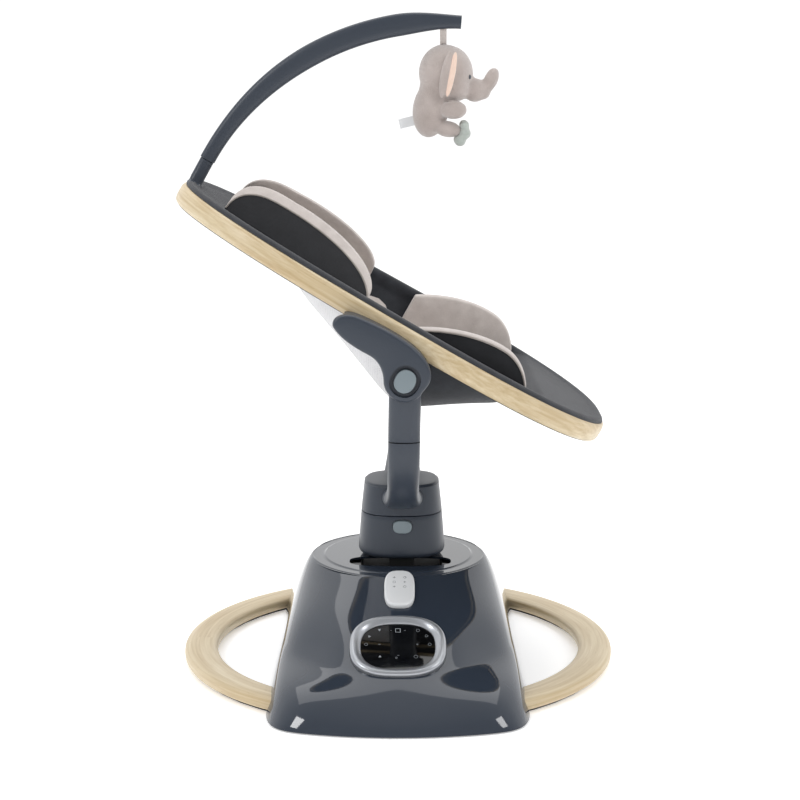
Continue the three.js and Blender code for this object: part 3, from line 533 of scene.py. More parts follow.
housing = {"width": 172.3, "length": 334, "height": 145, "disc": 120, "bow": 410, "wall": 3,
           "shoulder": (0.94, 0.69), "nose": (1.22, 0.89), "corner": (1.85, 10.5, 1.88),
           "around": 300, "side": 84, "top": 24, "ridge": 103, "ridgeHigh": 1.3}
scoop = {"depth": 0.11, "azimuth": 62, "spread": 13, "level": 0.43, "below": 0.1, "above": 0.26}
slotHole = {"x": 3, "y": 44, "front": 70, "rear": 57, "wide": 25.5, "shape": 3}
panel = {"y": -230.8, "z": 85.6, "slope": 32.5, "width": 62, "length": 49,
         "glassWidth": 48, "glassLength": 37}
remote = {"x": 2, "y": -145, "z": 134.5, "slope": 25.8, "width": 20.2, "length": 34, "thick": 9, "sunk": 3}
panelTurn = Matrix.Rotation(math.radians(panel["slope"]), 4, "X")
panelPlace = Matrix.Translation((0, panel["y"], panel["z"])) @ panelTurn
remotePlace = (Matrix.Translation((remote["x"], remote["y"], remote["z"]))
               @ Matrix.Rotation(math.radians(remote["slope"]), 4, "X"))


# The dome's outline at height t goes from a long blunt oval on the floor to the round disc on top
def housingRadius(angle, t):
    up, bend = housing["shoulder"]
    shoulder = max(0, 1 - t ** up) ** bend
    up, bend = housing["nose"]
    nose = max(0, 1 - t ** up) ** bend
    a = mix(housing["disc"], housing["width"], shoulder)
    b = mix(housing["disc"], housing["length"], nose)
    least, extra, fall = housing["corner"]
    sharp = least + extra * (1 - t) ** fall
    c, s = abs(math.cos(angle)), abs(math.sin(angle))
    end = math.hypot(s / b, c * (1 - t) / housing["bow"])
    radius = ((c / a) ** sharp + end ** sharp) ** (-1 / sharp)
    azimuth = math.degrees(math.atan2(s, c))
    reach = scoop["below"] if t < scoop["level"] else scoop["above"]
    return radius * (1 - scoop["depth"] * bell(azimuth - scoop["azimuth"], scoop["spread"])
                     * bell(t - scoop["level"], reach))


def makeHousing():
    rows = housing["side"] + housing["top"]

    def rule(u, v):
        angle = u * 2 * math.pi
        row = round(v * rows)
        if row <= housing["side"]:
            t = 0.01 + 0.99 * math.sin(row / housing["side"] * math.pi / 2) ** 1.15
            radius = housingRadius(angle, t)
            return (radius * math.cos(angle), radius * math.sin(angle), housing["height"] * t)
        inward = (row - housing["side"]) / housing["top"]
        radius = housing["disc"] * (1 - inward)
        if inward < 0.5:
            radius = mix(housing["disc"], housing["ridge"] - 3, inward * 2)
        else:
            radius = (housing["ridge"] - 3) * (1 - inward) * 2
        lift = housing["ridgeHigh"] * ease((housing["ridge"] + 1.5 - radius) / 3)
        return (radius * math.cos(angle), radius * math.sin(angle), housing["height"] - 0.4 + lift)

    shell = skin("housingShell", housing["around"], rows, rule)
    useModifier(shell, "SOLIDIFY", thickness=housing["wall"] * mm, offset=-1, use_even_offset=False)
    cutters = []
    for side, half in ((-1, slotHole["front"]), (1, slotHole["rear"])):
        levels = [(half, slotHole["wide"], 120), (half, slotHole["wide"], 160)]
        cutters.append(ovalStack("slotCutter", levels, slotHole["shape"], None, 96, slotHole["x"],
                                 side * slotHole["y"]))
    size = (panel["width"] + 0.3, panel["length"] + 0.3)
    cutters.append(ovalStack("panelCutter", [(*size, -30), (*size, 30)], 2.6, panelPlace, 96))
    size = (remote["width"] + 0.5, remote["length"] + 0.5)
    levels = [(*size, -remote["sunk"] - 0.4), (*size, 20)]
    cutters.append(ovalStack("remoteCutter", levels, 3, remotePlace, 96))
    cutters.append(ringSkin("ringCutter", 192, 32, floorRingPath(7), floorRing["band"] / 2 + 0.8, 15.3, 3.4))
    booleans(shell, cutters)
    finishPiece(shell, paint["gloss"], "base", ["housing_shell"], 25)


def makePanel():
    width, length = panel["width"], panel["length"]
    glassWidth, glassLength = panel["glassWidth"], panel["glassLength"]
    section = [(0.0, -7), (0.0, -0.5), (0.0, 1.2), (0.05, 2.6), (0.14, 3.9), (0.27, 4.7), (0.42, 4.9),
               (0.57, 4.4),
               (0.72, 3.2), (0.87, 1.6), (0.97, 0.4), (1.0, -0.2), (1.0, -1.2), (0.9, -1.2), (0.9, -7)]

    def rule(u, v):
        place, z = section[round(v * len(section)) % len(section)]
        x, y = oval(u * 2 * math.pi, mix(width, glassWidth, place), mix(length, glassLength, place), 2.6)
        return (x, y, z)

    bezel = skin("panelBezel", 128, len(section), rule, panelPlace)
    finishPiece(bezel, paint["silver"], "base", ["panel_bezel"], 50)
    size = (glassWidth + 1, glassLength + 1)
    levels = [(*size, -4.2), (*size, -1.9), (size[0] - 0.4, size[1] - 0.4, -1.5),
              (size[0] - 20, size[1] - 20, -1.2)]
    glass = ovalStack("panelGlass", levels, 2.6, panelPlace, 128)
    finishPiece(glass, paint["glass"], "base", ["panel_glass"])
    makePanelIcons()


def placed(objects, name, matrix):
    sheet = joined(objects, name)
    sheet.matrix_world = Matrix.LocRotScale(matrix.to_translation() * mm, matrix.to_quaternion(), None)
    return settle(sheet)


# Generic signs printed on the touch window: rings, strokes and triangles, as (kind, x, y, size)
panelSigns = [("square", 0, 27, 3), ("stroke", -9, 27, 1.6), ("stroke", 9, 27, 1.6),
              ("triangle", -24, 28, 2.4),
              ("ring", 26, 27, 2.2), ("triangle", -37, 17, 2.2), ("ring", 37, 18, 1.8), ("ring", -41, 4, 2.0),
              ("stroke", -24, 4, 3), ("cross", 25, 4, 3), ("ring", 41, 4, 2.0), ("triangle", -23, -16, 2.2),
              ("ring", -2, -18, 1.2), ("stroke", 0.6, -14, 2.4), ("ring", 23, -16, 2.4)]


def makePanelIcons():
    icons = []
    top = -1.15
    for kind, x, y, size in panelSigns:
        clear()
        place = (x * mm, y * mm, top * mm)
        if kind == "ring":
            bpy.ops.mesh.primitive_torus_add(major_segments=28, minor_segments=6, major_radius=size * mm,
                                             minor_radius=0.2 * mm, location=place)
            icons.append(settle(named("icon")))
        elif kind == "triangle":
            bpy.ops.mesh.primitive_cylinder_add(vertices=3, radius=size * mm, depth=0.2 * mm, location=place,
                                                rotation=(0, 0, x))
            icons.append(settle(named("icon")))
        elif kind == "square":
            for dx, dy, wide, tall in ((0, 1, 2, 0.2), (0, -1, 2, 0.2), (1, 0, 0.2, 2), (-1, 0, 0.2, 2)):
                middle = (x + dx * size, y + dy * size)
                half = (wide * size / 2 + 0.1, tall * size / 2)
                icons.append(box("icon", (middle[0] - half[0], middle[1] - half[1], top - 0.1),
                                 (middle[0] + half[0], middle[1] + half[1], top + 0.12)))
        else:
            halves = [(size / 2, 0.22)]
            if kind == "cross":
                halves.append((0.22, size / 2))
            for wide, tall in halves:
                icons.append(box("icon", (x - wide, y - tall, top - 0.1), (x + wide, y + tall, top + 0.12)))
    finishPiece(placed(icons, "panelIcons", panelPlace), paint["print"], "base")


def makeRemote():
    thick = remote["thick"] - remote["sunk"]
    levels = roundedLevels(remote["width"], remote["length"], -remote["sunk"], thick, 2.2, 3.4)
    levels.append((remote["width"] * 0.5, remote["length"] * 0.5, thick + 0.5))
    case = ovalStack("remoteControl", levels, 3.2, remotePlace, 128)
    finishPiece(case, paint["white"], "remote", ["remote_control"])
    marks = []
    for row, y in enumerate((18, 9, 0)):
        for x in (-7, 7):
            clear()
            if (row + (x > 0)) % 2:
                place = (x * mm, y * mm, (thick + 0.42) * mm)
                bpy.ops.mesh.primitive_torus_add(major_segments=24, minor_segments=6, major_radius=1.8 * mm,
                                                 minor_radius=0.25 * mm, location=place)
                marks.append(settle(named("mark")))
            else:
                marks.append(box("mark", (x - 1.8, y - 0.3, thick + 0.2), (x + 1.8, y + 0.3, thick + 0.55)))
                marks.append(box("mark", (x - 0.3, y - 1.8, thick + 0.2), (x + 0.3, y + 1.8, thick + 0.55)))
    finishPiece(placed(marks, "remoteMarks", remotePlace), paint["ink"], "remote")


makeFloorRing()
makeHousing()
makePanel()
makeRemote()
print("base ready")

# Hub and yoke

hub = {"x": 5, "low": 152, "split": 212, "top": 255, "base": 60, "middle": 56, "crown": 51, "shape": 2.8}
swivelButton = {"x": 6, "z": 198, "width": 13, "height": 9}
arm = {"split": 346, "thick": 14, "width": 20.6, "root": 28, "shape": 2.6, "gap": 0.4}
hubPlace = Matrix.Translation((hub["x"], 0, 0))


def makeHub():
    base, middle, crown = hub["base"], hub["middle"], hub["crown"]
    low, split, top = hub["low"], hub["split"], hub["top"]
    levels = []
    for i in range(7):
        t = math.radians(15 * i)
        inner = base - 8 * (1 - math.sin(t))
        levels.append((inner, inner, low + 8 * (1 - math.cos(t))))
    for i in range(1, 9):
        r = mix(base, middle, i / 8)
        levels.append((r, r, mix(low + 8, split - 1.2, i / 8)))
    levels.append((middle - 0.3, middle - 0.3, split - 0.6))
    levels.append((middle - 1.2, middle - 1.2, split - 0.3))
    lower = ovalStack("swingHub", levels, hub["shape"], hubPlace, 160)
    button = swivelButton
    size = (button["width"] + 0.6, button["height"] + 0.6)
    toFront = Matrix.Translation((button["x"], 0, button["z"])) @ Matrix.Rotation(math.pi / 2, 4, "X")
    hole = ovalStack("buttonCutter", [(*size, 40), (*size, 75)], 2.6, toFront, 64)
    booleans(lower, [hole])
    finishPiece(lower, paint["satin"], "carriage", ["swing_hub"], 30)
    levels = roundedLevels(button["width"], button["height"], 49, 61.3, 0.2, 1.6)
    cap = ovalStack("swivelButton", levels, 2.6, toFront, 64)
    finishPiece(cap, paint["button"], "swivel_button", ["swivel_button"])
    levels = [(middle - 1.4, middle - 1.4, split + 0.3), (middle - 0.5, middle - 0.5, split + 0.6),
              (middle - 0.2, middle - 0.2, split + 1.2)]
    for i in range(1, 7):
        r = mix(middle, crown, i / 7)
        levels.append((r, r, mix(split, top - 4, i / 6)))
    for i in range(1, 7):
        t = math.radians(15 * i)
        r = crown - 0.6 - 4 * (1 - math.cos(t))
        levels.append((r, r, top - 4 + 3 * math.sin(t)))
    for share in (0.75, 0.5, 0.25):
        levels.append((crown * share, crown * share, top - 0.4 * share))
    upper = ovalStack("swivelHub", levels, hub["shape"], hubPlace, 160)
    finishPiece(upper, paint["satin"], "yoke", ["swivel_hub"], 30)


def makeArms():
    side = Vector((1, 0, 0))
    x = hub["x"]
    for sign, place in ((-1, "front"), (1, "rear")):
        def at(px, py, pz):
            return Vector((px, sign * py, pz))

        def lowerSize(t):
            return mix(arm["root"], arm["width"], ease(t * 1.6)), arm["thick"]

        def upperSize(t):
            return arm["width"], arm["thick"]

        points = [at(x + 1, 30, 236), at(x + 1, 105, 240), at(x + 2, 190, 275),
                  at(x + 3, 190, arm["split"] - arm["gap"])]
        lower = bar(f"lowerArm.{place}", points, side, lowerSize, arm["shape"], 64, 80, 0.012)
        finishPiece(lower, paint["satin"], "yoke", [f"lower_arm_{place}"], 40)
        points = [at(x + 3, 190, arm["split"] + arm["gap"]), at(x + 3, 190, 375), at(pivot.x, 204, 388),
                  at(pivot.x, 204, pivot.z - 8)]
        upper = bar("upperArm", points, side, upperSize, arm["shape"], 64, 48, 0.012)
        lobe = cylinder("lobe", 22.5, 15.4, (pivot.x, sign * 203.8, pivot.z), "Y", 96)
        useModifier(lobe, "BEVEL", width=2 * mm, segments=3, limit_method="ANGLE")
        booleans(upper, [lobe], "UNION")
        upper.name = f"upperArm.{place}"
        finishPiece(upper, paint["satin"], "yoke", [f"upper_arm_{place}"], 40)


makeHub()
makeArms()
print("hub and yoke ready")

# Seat rim and brackets


def rimPoint(angle, inset, share=1.0):
    c = power(math.cos(angle), 2 / rim["shape"])
    s = power(math.sin(angle), 2 / rim["shape"])
    x = (rim["length"] - inset) * c * share
    y = (rim["width"] - inset) * (1 + rim["flare"] * c * share) * s * share
    return Vector((rim["centre"] + x, y, 0))


# The rim's points, evenly spaced along its outline, with the outward direction at each
def evenRim(inset, count):
    fine = 4000
    dense = [rimPoint(2 * math.pi * i / fine, inset) for i in range(fine)]
    steps = [(dense[(i + 1) % fine] - dense[i]).length for i in range(fine)]
    total, walked, rows = sum(steps), 0.0, []
    for i, step in enumerate(steps):
        if walked >= len(rows) * total / count - 1e-9 and len(rows) < count:
            ahead = dense[(i + 12) % fine] - dense[i - 12]
            rows.append((dense[i], Vector((ahead.y, -ahead.x, 0)).normalized()))
        walked += step
    return rows


def makeRim():
    around = 288
    rows = evenRim(rim["band"] / 2, around)
    middle = Vector((0, 0, (rim["low"] + rim["high"]) / 2))

    def path(angle):
        point, outward = rows[round(angle / (2 * math.pi) * around) % around]
        return point + middle, outward, Vector((0, 0, 1))

    half = (rim["high"] - rim["low"]) / 2
    wood = ringSkin("seatRim", around, 40, path, rim["band"] / 2, half, 3.6, seatPlace)
    finishPiece(wood, paint["rimAsh"], "seat", ["seat_ring"])
    middle = Vector((0, 0, rim["low"] + 0.6))
    frameBand = ringSkin("seatFrame", around, 16, path, 5.5, 1.4, 4, seatPlace)
    finishPiece(frameBand, paint["dark"], "seat", ["seat_frame"])


bracket = {"inner": 212.3, "outer": 228, "recess": 6, "lobe": 27, "edge": 4.5}


def bracketOutline():
    bends = [((-112, 15), (-121, 23), (-112, 37), (-94, 41)), ((-94, 41), (-68, 45), (-38, 46), (-17, 43.5)),
             ((-17, 43.5), (7, 40.5), (27, 29), (28, 13)), ((28, 13), (28, 4), (26, 2), (26.4, -5.6))]
    returns = [((-22.9, -14.3), (-29, -4), (-40, 7), (-57, 6)), ((-57, 6), (-85, 5), (-102, 9), (-112, 15))]
    outline = []
    for points in bends:
        corners = [Vector((x, 0, z)) for x, z in points]
        outline += [bezier(*corners, i / 14) for i in range(14)]
    for i in range(28):
        t = math.radians(mix(-12, -148, i / 28))
        outline.append(Vector((bracket["lobe"] * math.cos(t), 0, bracket["lobe"] * math.sin(t))))
    for points in returns:
        corners = [Vector((x, 0, z)) for x, z in points]
        outline += [bezier(*corners, i / 14) for i in range(14)]
    return outline


# The outline is filled and extruded along Y, still in millimetres
def plateFromOutline(name, outline, near, far):
    mesh = bpy.data.meshes.new(name)
    mesh.from_pydata([(p.x, near, p.z) for p in outline], [], [list(range(len(outline)))])
    obj = bpy.data.objects.new(name, mesh)
    bpy.context.collection.objects.link(obj)
    pick(obj)
    bpy.ops.object.mode_set(mode="EDIT")
    bpy.ops.mesh.select_all(action="SELECT")
    bpy.ops.mesh.extrude_region_move(TRANSFORM_OT_translate={"value": (0, far - near, 0)})
    bpy.ops.mesh.select_all(action="SELECT")
    bpy.ops.mesh.normals_make_consistent(inside=False)
    bpy.ops.object.mode_set(mode="OBJECT")
    return obj


def toSeat(obj):
    for vertex in obj.data.vertices:
        vertex.co = (seatPlace @ vertex.co) * mm
    obj.data.update()
    return obj


def ovalRimBlock(name, inset, low, high):
    def rule(u, v):
        row = round(v * 3)
        if row in (0, 3):
            return (rim["centre"], 0, low if row == 0 else high)
        point = rimPoint(u * 2 * math.pi, inset)
        return (point.x, point.y, low if row == 1 else high)

    return skin(name, 240, 3, rule, seatPlace)


def makeBrackets():
    for sign, place in ((-1, "front"), (1, "rear")):
        inner, outer = sign * bracket["inner"], sign * bracket["outer"]
        plate = plateFromOutline("seatBracket", bracketOutline(), inner, outer)
        useModifier(plate, "BEVEL", width=bracket["edge"], segments=5, limit_method="ANGLE",
                    angle_limit=math.radians(40), harden_normals=False)
        toSeat(plate)
        rib = toSeat(plateFromOutline("rib", bracketOutline(), sign * 150, sign * (bracket["inner"] + 4)))
        room = ovalRimBlock("room", -0.5, -80, 90)
        under = box("under", (-200, -260, -80), (60, 260, rim["low"] + 4))
        for vertex in under.data.vertices:
            vertex.co = (seatPlace @ (vertex.co / mm)) * mm
        booleans(rib, [room, under])
        booleans(plate, [rib], "UNION")
        turn = Matrix.Rotation(sign * -math.pi / 2, 4, "X")
        depth = (bracket["outer"] - bracket["recess"], bracket["outer"] + 9)
        recess = ovalStack("recess", [(19, 20.5, depth[0]), (19, 20.5, depth[1])], 2.2, seatPlace @ turn, 96)
        bore = ovalStack("bore", [(16.3, 16.3, 190), (16.3, 16.3, 240)], 2, seatPlace @ turn, 64)
        booleans(plate, [recess, bore])
        plate.name = f"seatBracket.{place}"
        finishPiece(plate, paint["satin"], "seat", [f"seat_bracket_{place}"], 32)
        levels = roundedLevels(13.2, 15.2, bracket["outer"] - 2.6, bracket["outer"] + 1, 0.2, 1.4)
        button = ovalStack("reclineButton", levels, 2.2, seatPlace @ turn, 64)
        stem = ovalStack("stem", [(8.4, 8.4, 205), (8.4, 8.4, bracket["outer"] - 2)], 2, seatPlace @ turn, 48)
        booleans(button, [stem], "UNION")
        button.name = f"reclineButton.{place}"
        cadName = f"recline_button_{place}"
        finishPiece(button, paint["button"], cadName, [cadName])


makeRim()
makeBrackets()
print("rim and brackets ready")

# Soft seat: cover, liner, wings, harness

bucket = {"rim": 45, "head": -246, "hip": 20, "foot": 176, "depth": 110, "skin": 3, "meshEnd": 12,
          "meshEdge": 0.985, "taut": 7, "level": 15}


def bowlDepth(x):
    back = min(2, max(0.02, (x - bucket["head"]) / (bucket["hip"] - bucket["head"])))
    front = min(2, max(0.02, (bucket["foot"] - x) / (bucket["foot"] - bucket["hip"])))
    return bucket["depth"] * (back ** -9 + front ** -9) ** (-1 / 9)


# The bowl under the cover, drawn taut: higher than a plain bowl, and level with the rim's top at both ends
def bowlHeight(x, share):
    depth = bowlDepth(x)
    level = bucket["level"] * (1 - ease(depth / 42))
    taut = bucket["taut"] * ease(depth / 80)
    return bucket["rim"] - 4 + level - (depth - taut) * (1 - share ** 5) + 2 * share ** 8


def coverHeight(x, share):
    return bowlHeight(x, share) + bucket["skin"]


# How far out a point of the seat lies, from 0 at the middle to 1 at the rim's inner edge
def shareAt(x, y):
    c = (x - rim["centre"]) / (rim["length"] - rim["band"])
    s = y / ((rim["width"] - rim["band"]) * (1 + rim["flare"] * c))
    return (abs(c) ** rim["shape"] + abs(s) ** rim["shape"]) ** (1 / rim["shape"])


# Black sling cloth hung from the rim, rolled over its top, with a light mesh panel under the back
def makeCover():
    rows, around = 60, 240
    rimRows = evenRim(rim["band"] + 0.5, around)
    lip = [(-1.5, 51), (-0.5, 57), (3, 61.8), (8, 63.6), (13, 63), (16.8, 60.6), (18.4, 58.2)]

    def rule(u, v):
        angle = u * 2 * math.pi
        point, outward = rimRows[round(u * around) % around]
        row = round(v * rows)
        flat = rows - len(lip)
        if row <= flat:
            share = row / flat
            x = rim["centre"] + (point.x - rim["centre"]) * share
            y = point.y * share
            fade = ease((share - 0.6) * 2.5) * (1 - share)
            crease = 0.7 * math.sin(9 * angle + 3 * math.sin(2 * angle)) * fade
            return (x, y, coverHeight(x, share) + crease)
        across, height = lip[row - flat - 1]
        edge = point + outward * across
        if across < 5:
            height = max(height, coverHeight(point.x, 1) + 0.12 * (across + 1.5))
        return (edge.x, edge.y, height)

    cover = skin("seatCover", around, rows, rule, seatPlace)
    pick(cover)
    bpy.ops.object.mode_set(mode="EDIT")
    bpy.ops.mesh.select_all(action="SELECT")
    seam = seatPlace @ Vector((bucket["meshEnd"], 0, 0)) * mm
    bpy.ops.mesh.bisect(plane_co=seam, plane_no=seatPlace.to_3x3() @ Vector((1, 0, 0)))
    bpy.ops.object.mode_set(mode="OBJECT")
    useModifier(cover, "SOLIDIFY", thickness=2.2 * mm, offset=-1)
    back = seatPlace.inverted()
    for polygon in cover.data.polygons:
        centre = back @ (polygon.center / mm)
        under = (back.to_3x3() @ polygon.normal).z < 0
        inMesh = centre.x < bucket["meshEnd"] and shareAt(centre.x, centre.y) < bucket["meshEdge"]
        polygon.material_index = 1 if under and inMesh and centre.z < 44 else 0
    finishPiece(cover, [paint["blackCloth"], paint["mesh"]], "seat", ["seat_bucket"], 60)


liner = {"edge": 0.8, "footEdge": 0.6, "lift": 6.5, "thick": 9, "tongue": 0.15, "tongueAt": -60,
         "tongueWide": 21}


# Foam liner: a quilted bowl with a sewn crease at the hips and a tongue up to the rim on each side
def makeLiner():
    around, rows = 120, 18
    low = bucket["skin"] + liner["lift"]

    def place(u, share, top):
        angle = u * 2 * math.pi
        side = rimPoint(angle, rim["band"] + 0.5)
        tongue = bell(side.x - liner["tongueAt"], liner["tongueWide"])
        edge = mix(liner["edge"], liner["footEdge"], ease((math.cos(angle) - 0.2) / 0.6))
        share *= edge + liner["tongue"] * tongue
        point = rimPoint(angle, rim["band"] + 0.5, share)
        turnUp = 24 * tongue * ease((share - 0.82) / 0.13)
        thick = liner["thick"] * (1 - 0.6 * tongue * ease((share - 0.8) / 0.15))
        return (point.x, point.y, bowlHeight(point.x, share) + low + turnUp + (thick if top else 0))

    def rule(u, v):
        row = round(v * (2 * rows + 1))
        if row <= rows:
            return place(u, row / rows, False)
        return place(u, (2 * rows + 1 - row) / rows, True)

    pad = skin("seatLiner", around, 2 * rows + 1, rule, seatPlace)
    back = seatPlace.inverted()
    seams = (-190, -112, -18, 62)

    def held(co):
        point = back @ (co / mm)
        share = shareAt(point.x, point.y)
        return share > liner["edge"] - 0.06 or min(abs(point.x - seam) for seam in seams) < 5

    puff(pad, 3.0, 4.5, held)
    for vertex in pad.data.vertices:
        point = back @ (vertex.co / mm)
        share = shareAt(point.x, point.y)
        top = point.z > bowlHeight(point.x, share) + low + 3
        if top and share < liner["edge"]:
            groove = sum(bell(point.x - seam, 3.2) for seam in seams) + bell((share - 0.7) * 160, 3.0)
            point.z -= 2.4 * min(1, groove)
            vertex.co = (seatPlace @ point) * mm
    finishPiece(pad, paint["greyCloth"], "seat", ["seat_liner"], 60)


# Wings: an arch from back to ahead of its peak, rise above foot, that leans in; band is the grey edge's depth
wings = {
    "headWing": {"peak": -232, "back": 74, "ahead": 144, "foot": 64, "rise": 50, "lean": 1.1, "band": 12,
                 "bow": ((3.0, 0.4), (2.1, 0.5)), "thick": 20},
    "hipWing": {"peak": 90, "back": 105, "ahead": 56, "foot": 60, "rise": 33, "lean": 0.1, "band": 4.5,
                "bow": ((1.9, 1.0), (2.4, 0.9)), "thick": 20},
}

# Where a wing stands on the bowl, as shares of the way from its middle to the rim
wingFoot = {"outer": 0.944, "inner": 0.83}


def makeWing(kind, sign, place):
    wing = wings[kind]
    around, along = 44, 72
    seamRow, crestRow, backRow, footRow = 14, 18, 24, 38
    base = 55

    def across(x, inset):
        share = (x - rim["centre"]) / (rim["length"] - rim["band"])
        angle = math.acos(power(share, rim["shape"] / 2))
        return rimPoint(angle, rim["band"] + inset).y * sign

    def topAt(x):
        ahead = x > wing["peak"]
        u = min(1, abs(x - wing["peak"]) / wing["ahead" if ahead else "back"])
        first, second = wing["bow"][1 if ahead else 0]
        return wing["foot"] + wing["rise"] * (1 - u ** first) ** second

    def stationX(v):
        t = math.sin((v - 0.5) * math.pi) * 0.5 + 0.5
        return mix(wing["peak"] - wing["back"], wing["peak"] + wing["ahead"], mix(v, t, 0.75))

    def outerPoint(x, z):
        top = topAt(x)
        low = bowlHeight(x, wingFoot["outer"]) + bucket["skin"] + 1
        bulge = 2.6 * math.sin(math.pi * min(1, max(0, (z - low) / (top - low))))
        return Vector((x, across(x, 10 + wing["lean"] * max(0, z - base) - bulge), z))

    def innerPoint(x, z):
        top = topAt(x)
        low = bowlHeight(x, wingFoot["inner"]) + bucket["skin"] + 1
        t = min(1, max(0, (z - low) / (top - low)))
        inset = mix(30, 10 + wing["thick"] - 2 + wing["lean"] * max(0, top - base), ease(t))
        if z < top:
            inset = mix(30, 28 + wing["lean"] * max(0, z - base), t)
        return Vector((x, across(x, inset + 2.6 * math.sin(math.pi * t)), z))

    def rule(u, v):
        x = stationX(min(1, max(0, (v * along - 1) / (along - 2))))
        top = topAt(x)
        lowOut = bowlHeight(x, wingFoot["outer"]) + bucket["skin"] + 1
        lowIn = bowlHeight(x, wingFoot["inner"]) + bucket["skin"] + 1
        seam = max(lowOut + 2, top - wing["band"])
        if round(v * along) in (0, along):
            return (outerPoint(x, mix(lowOut, top, 0.5)) + innerPoint(x, mix(lowIn, top, 0.5))) / 2
        k = round(u * around) % around
        if k < seamRow:
            return outerPoint(x, mix(lowOut, seam, k / seamRow))
        if k < crestRow:
            return outerPoint(x, mix(seam, max(seam + 0.5, top - 3), (k - seamRow) / 4))
        if k < backRow:
            t = (k - crestRow) / 6
            edge = max(seam + 0.5, top - 3)
            middle = outerPoint(x, edge).lerp(innerPoint(x, edge), (1 - math.cos(t * math.pi)) / 2)
            return middle + Vector((0, 0, 3 * math.sin(t * math.pi)))
        if k < footRow:
            return innerPoint(x, mix(max(seam + 0.5, top - 3), lowIn, (k - backRow) / 14))
        return outerPoint(x, lowOut).lerp(innerPoint(x, lowIn), 1 - (k - footRow) / 6)

    # the outer side below the seam takes the darker black cloth, which is painted shade
    def shade(u, v):
        return 1 if u < seamRow / around else 0

    pad = skin(f"{kind}.{place}", around, along, rule, seatPlace, shade)
    back = seatPlace.inverted()

    def held(co):
        point = back @ (co / mm)
        top = topAt(point.x)
        low = bowlHeight(point.x, 0.9) + 6
        nearSeam = abs(point.z - (top - wing["band"])) < 2.5
        return point.z < low or (nearSeam and abs(point.y) > abs(outerPoint(point.x, point.z).y) - 3)

    puff(pad, 2.5, 2.5, held)
    cadName = f"{'head' if kind == 'headWing' else 'hip'}_wing_{place}"
    finishPiece(pad, [paint["greyCloth"], paint["shadedBlackCloth"]], "seat", [cadName], 60)
    points = []
    for i in range(61):
        x = stationX(0.01 + 0.98 * i / 60)
        z = max(bowlHeight(x, wingFoot["outer"]) + bucket["skin"] + 3, topAt(x) - wing["band"])
        point = outerPoint(x, z)
        points.append(Vector((point.x, point.y + 0.6 * sign, point.z)))
    piping = tube(f"{kind}Piping.{place}", points, Vector((0, 1, 0)), 1.1, 1.1, seatPlace)
    finishPiece(piping, paint["piping"], "seat", angle=60)


harness = {"lift": 24.2, "strapHalf": 12.5, "strapThick": 1.0, "top": (-215, 50), "end": (-66, 22)}


def makeHarness():
    for sign, place in ((-1, "front"), (1, "rear")):
        points = []
        for i in range(25):
            t = i / 24
            x = mix(harness["top"][0], harness["end"][0], t)
            y = mix(harness["top"][1], harness["end"][1], t) * sign
            z = bowlHeight(x, shareAt(x, y)) + harness["lift"] + 0.5 * math.sin(t * 9)
            points.append(Vector((x, y, z)))
        strap = tube(f"shoulderStrap.{place}", points, Vector((0, 1, 0)), harness["strapHalf"],
                     harness["strapThick"], seatPlace, 24, 6)
        finishPiece(strap, paint["webbing"], "seat", [f"shoulder_strap_{place}"], 40)
    x = -35
    seatTop = bowlHeight(x, shareAt(x, 0)) + bucket["skin"] + 6.5 + 12
    buckleTurn = Matrix.Rotation(math.radians(20.3), 4, "Y")
    place = seatPlace @ Matrix.Translation((x, 0, seatTop + 4.5)) @ buckleTurn
    levels = roundedLevels(30, 26, 0, 11, 2.5, 3.5)
    case = ovalStack("harnessBuckle", levels, 3.5, place, 96)
    booleans(case, [ovalStack("buttonRoom", [(11.5, 11.5, 5), (11.5, 11.5, 16)], 2, place, 48)])
    finishPiece(case, paint["dark"], "seat", ["buckle"])
    levels = roundedLevels(11, 11, 8, 12, 0.3, 1.2)
    button = ovalStack("buckleButton", levels, 2, place, 48)
    finishPiece(button, paint["button"], "buckle_button", ["buckle_button"])


makeCover()
makeLiner()
for sign, place in ((-1, "front"), (1, "rear")):
    makeWing("headWing", sign, place)
    makeWing("hipWing", sign, place)
makeHarness()
print("soft seat ready")

# Toy bar and plush toy

toyBar = {"base": -361.5, "joint": 97, "tipX": -155, "tipZ": 423.5, "thin": 10.5, "deep": 14.8, "half": 8}
toy = {"x": 60.3, "pin": 846.6, "barEnd": 868, "strapHalf": 4.4}


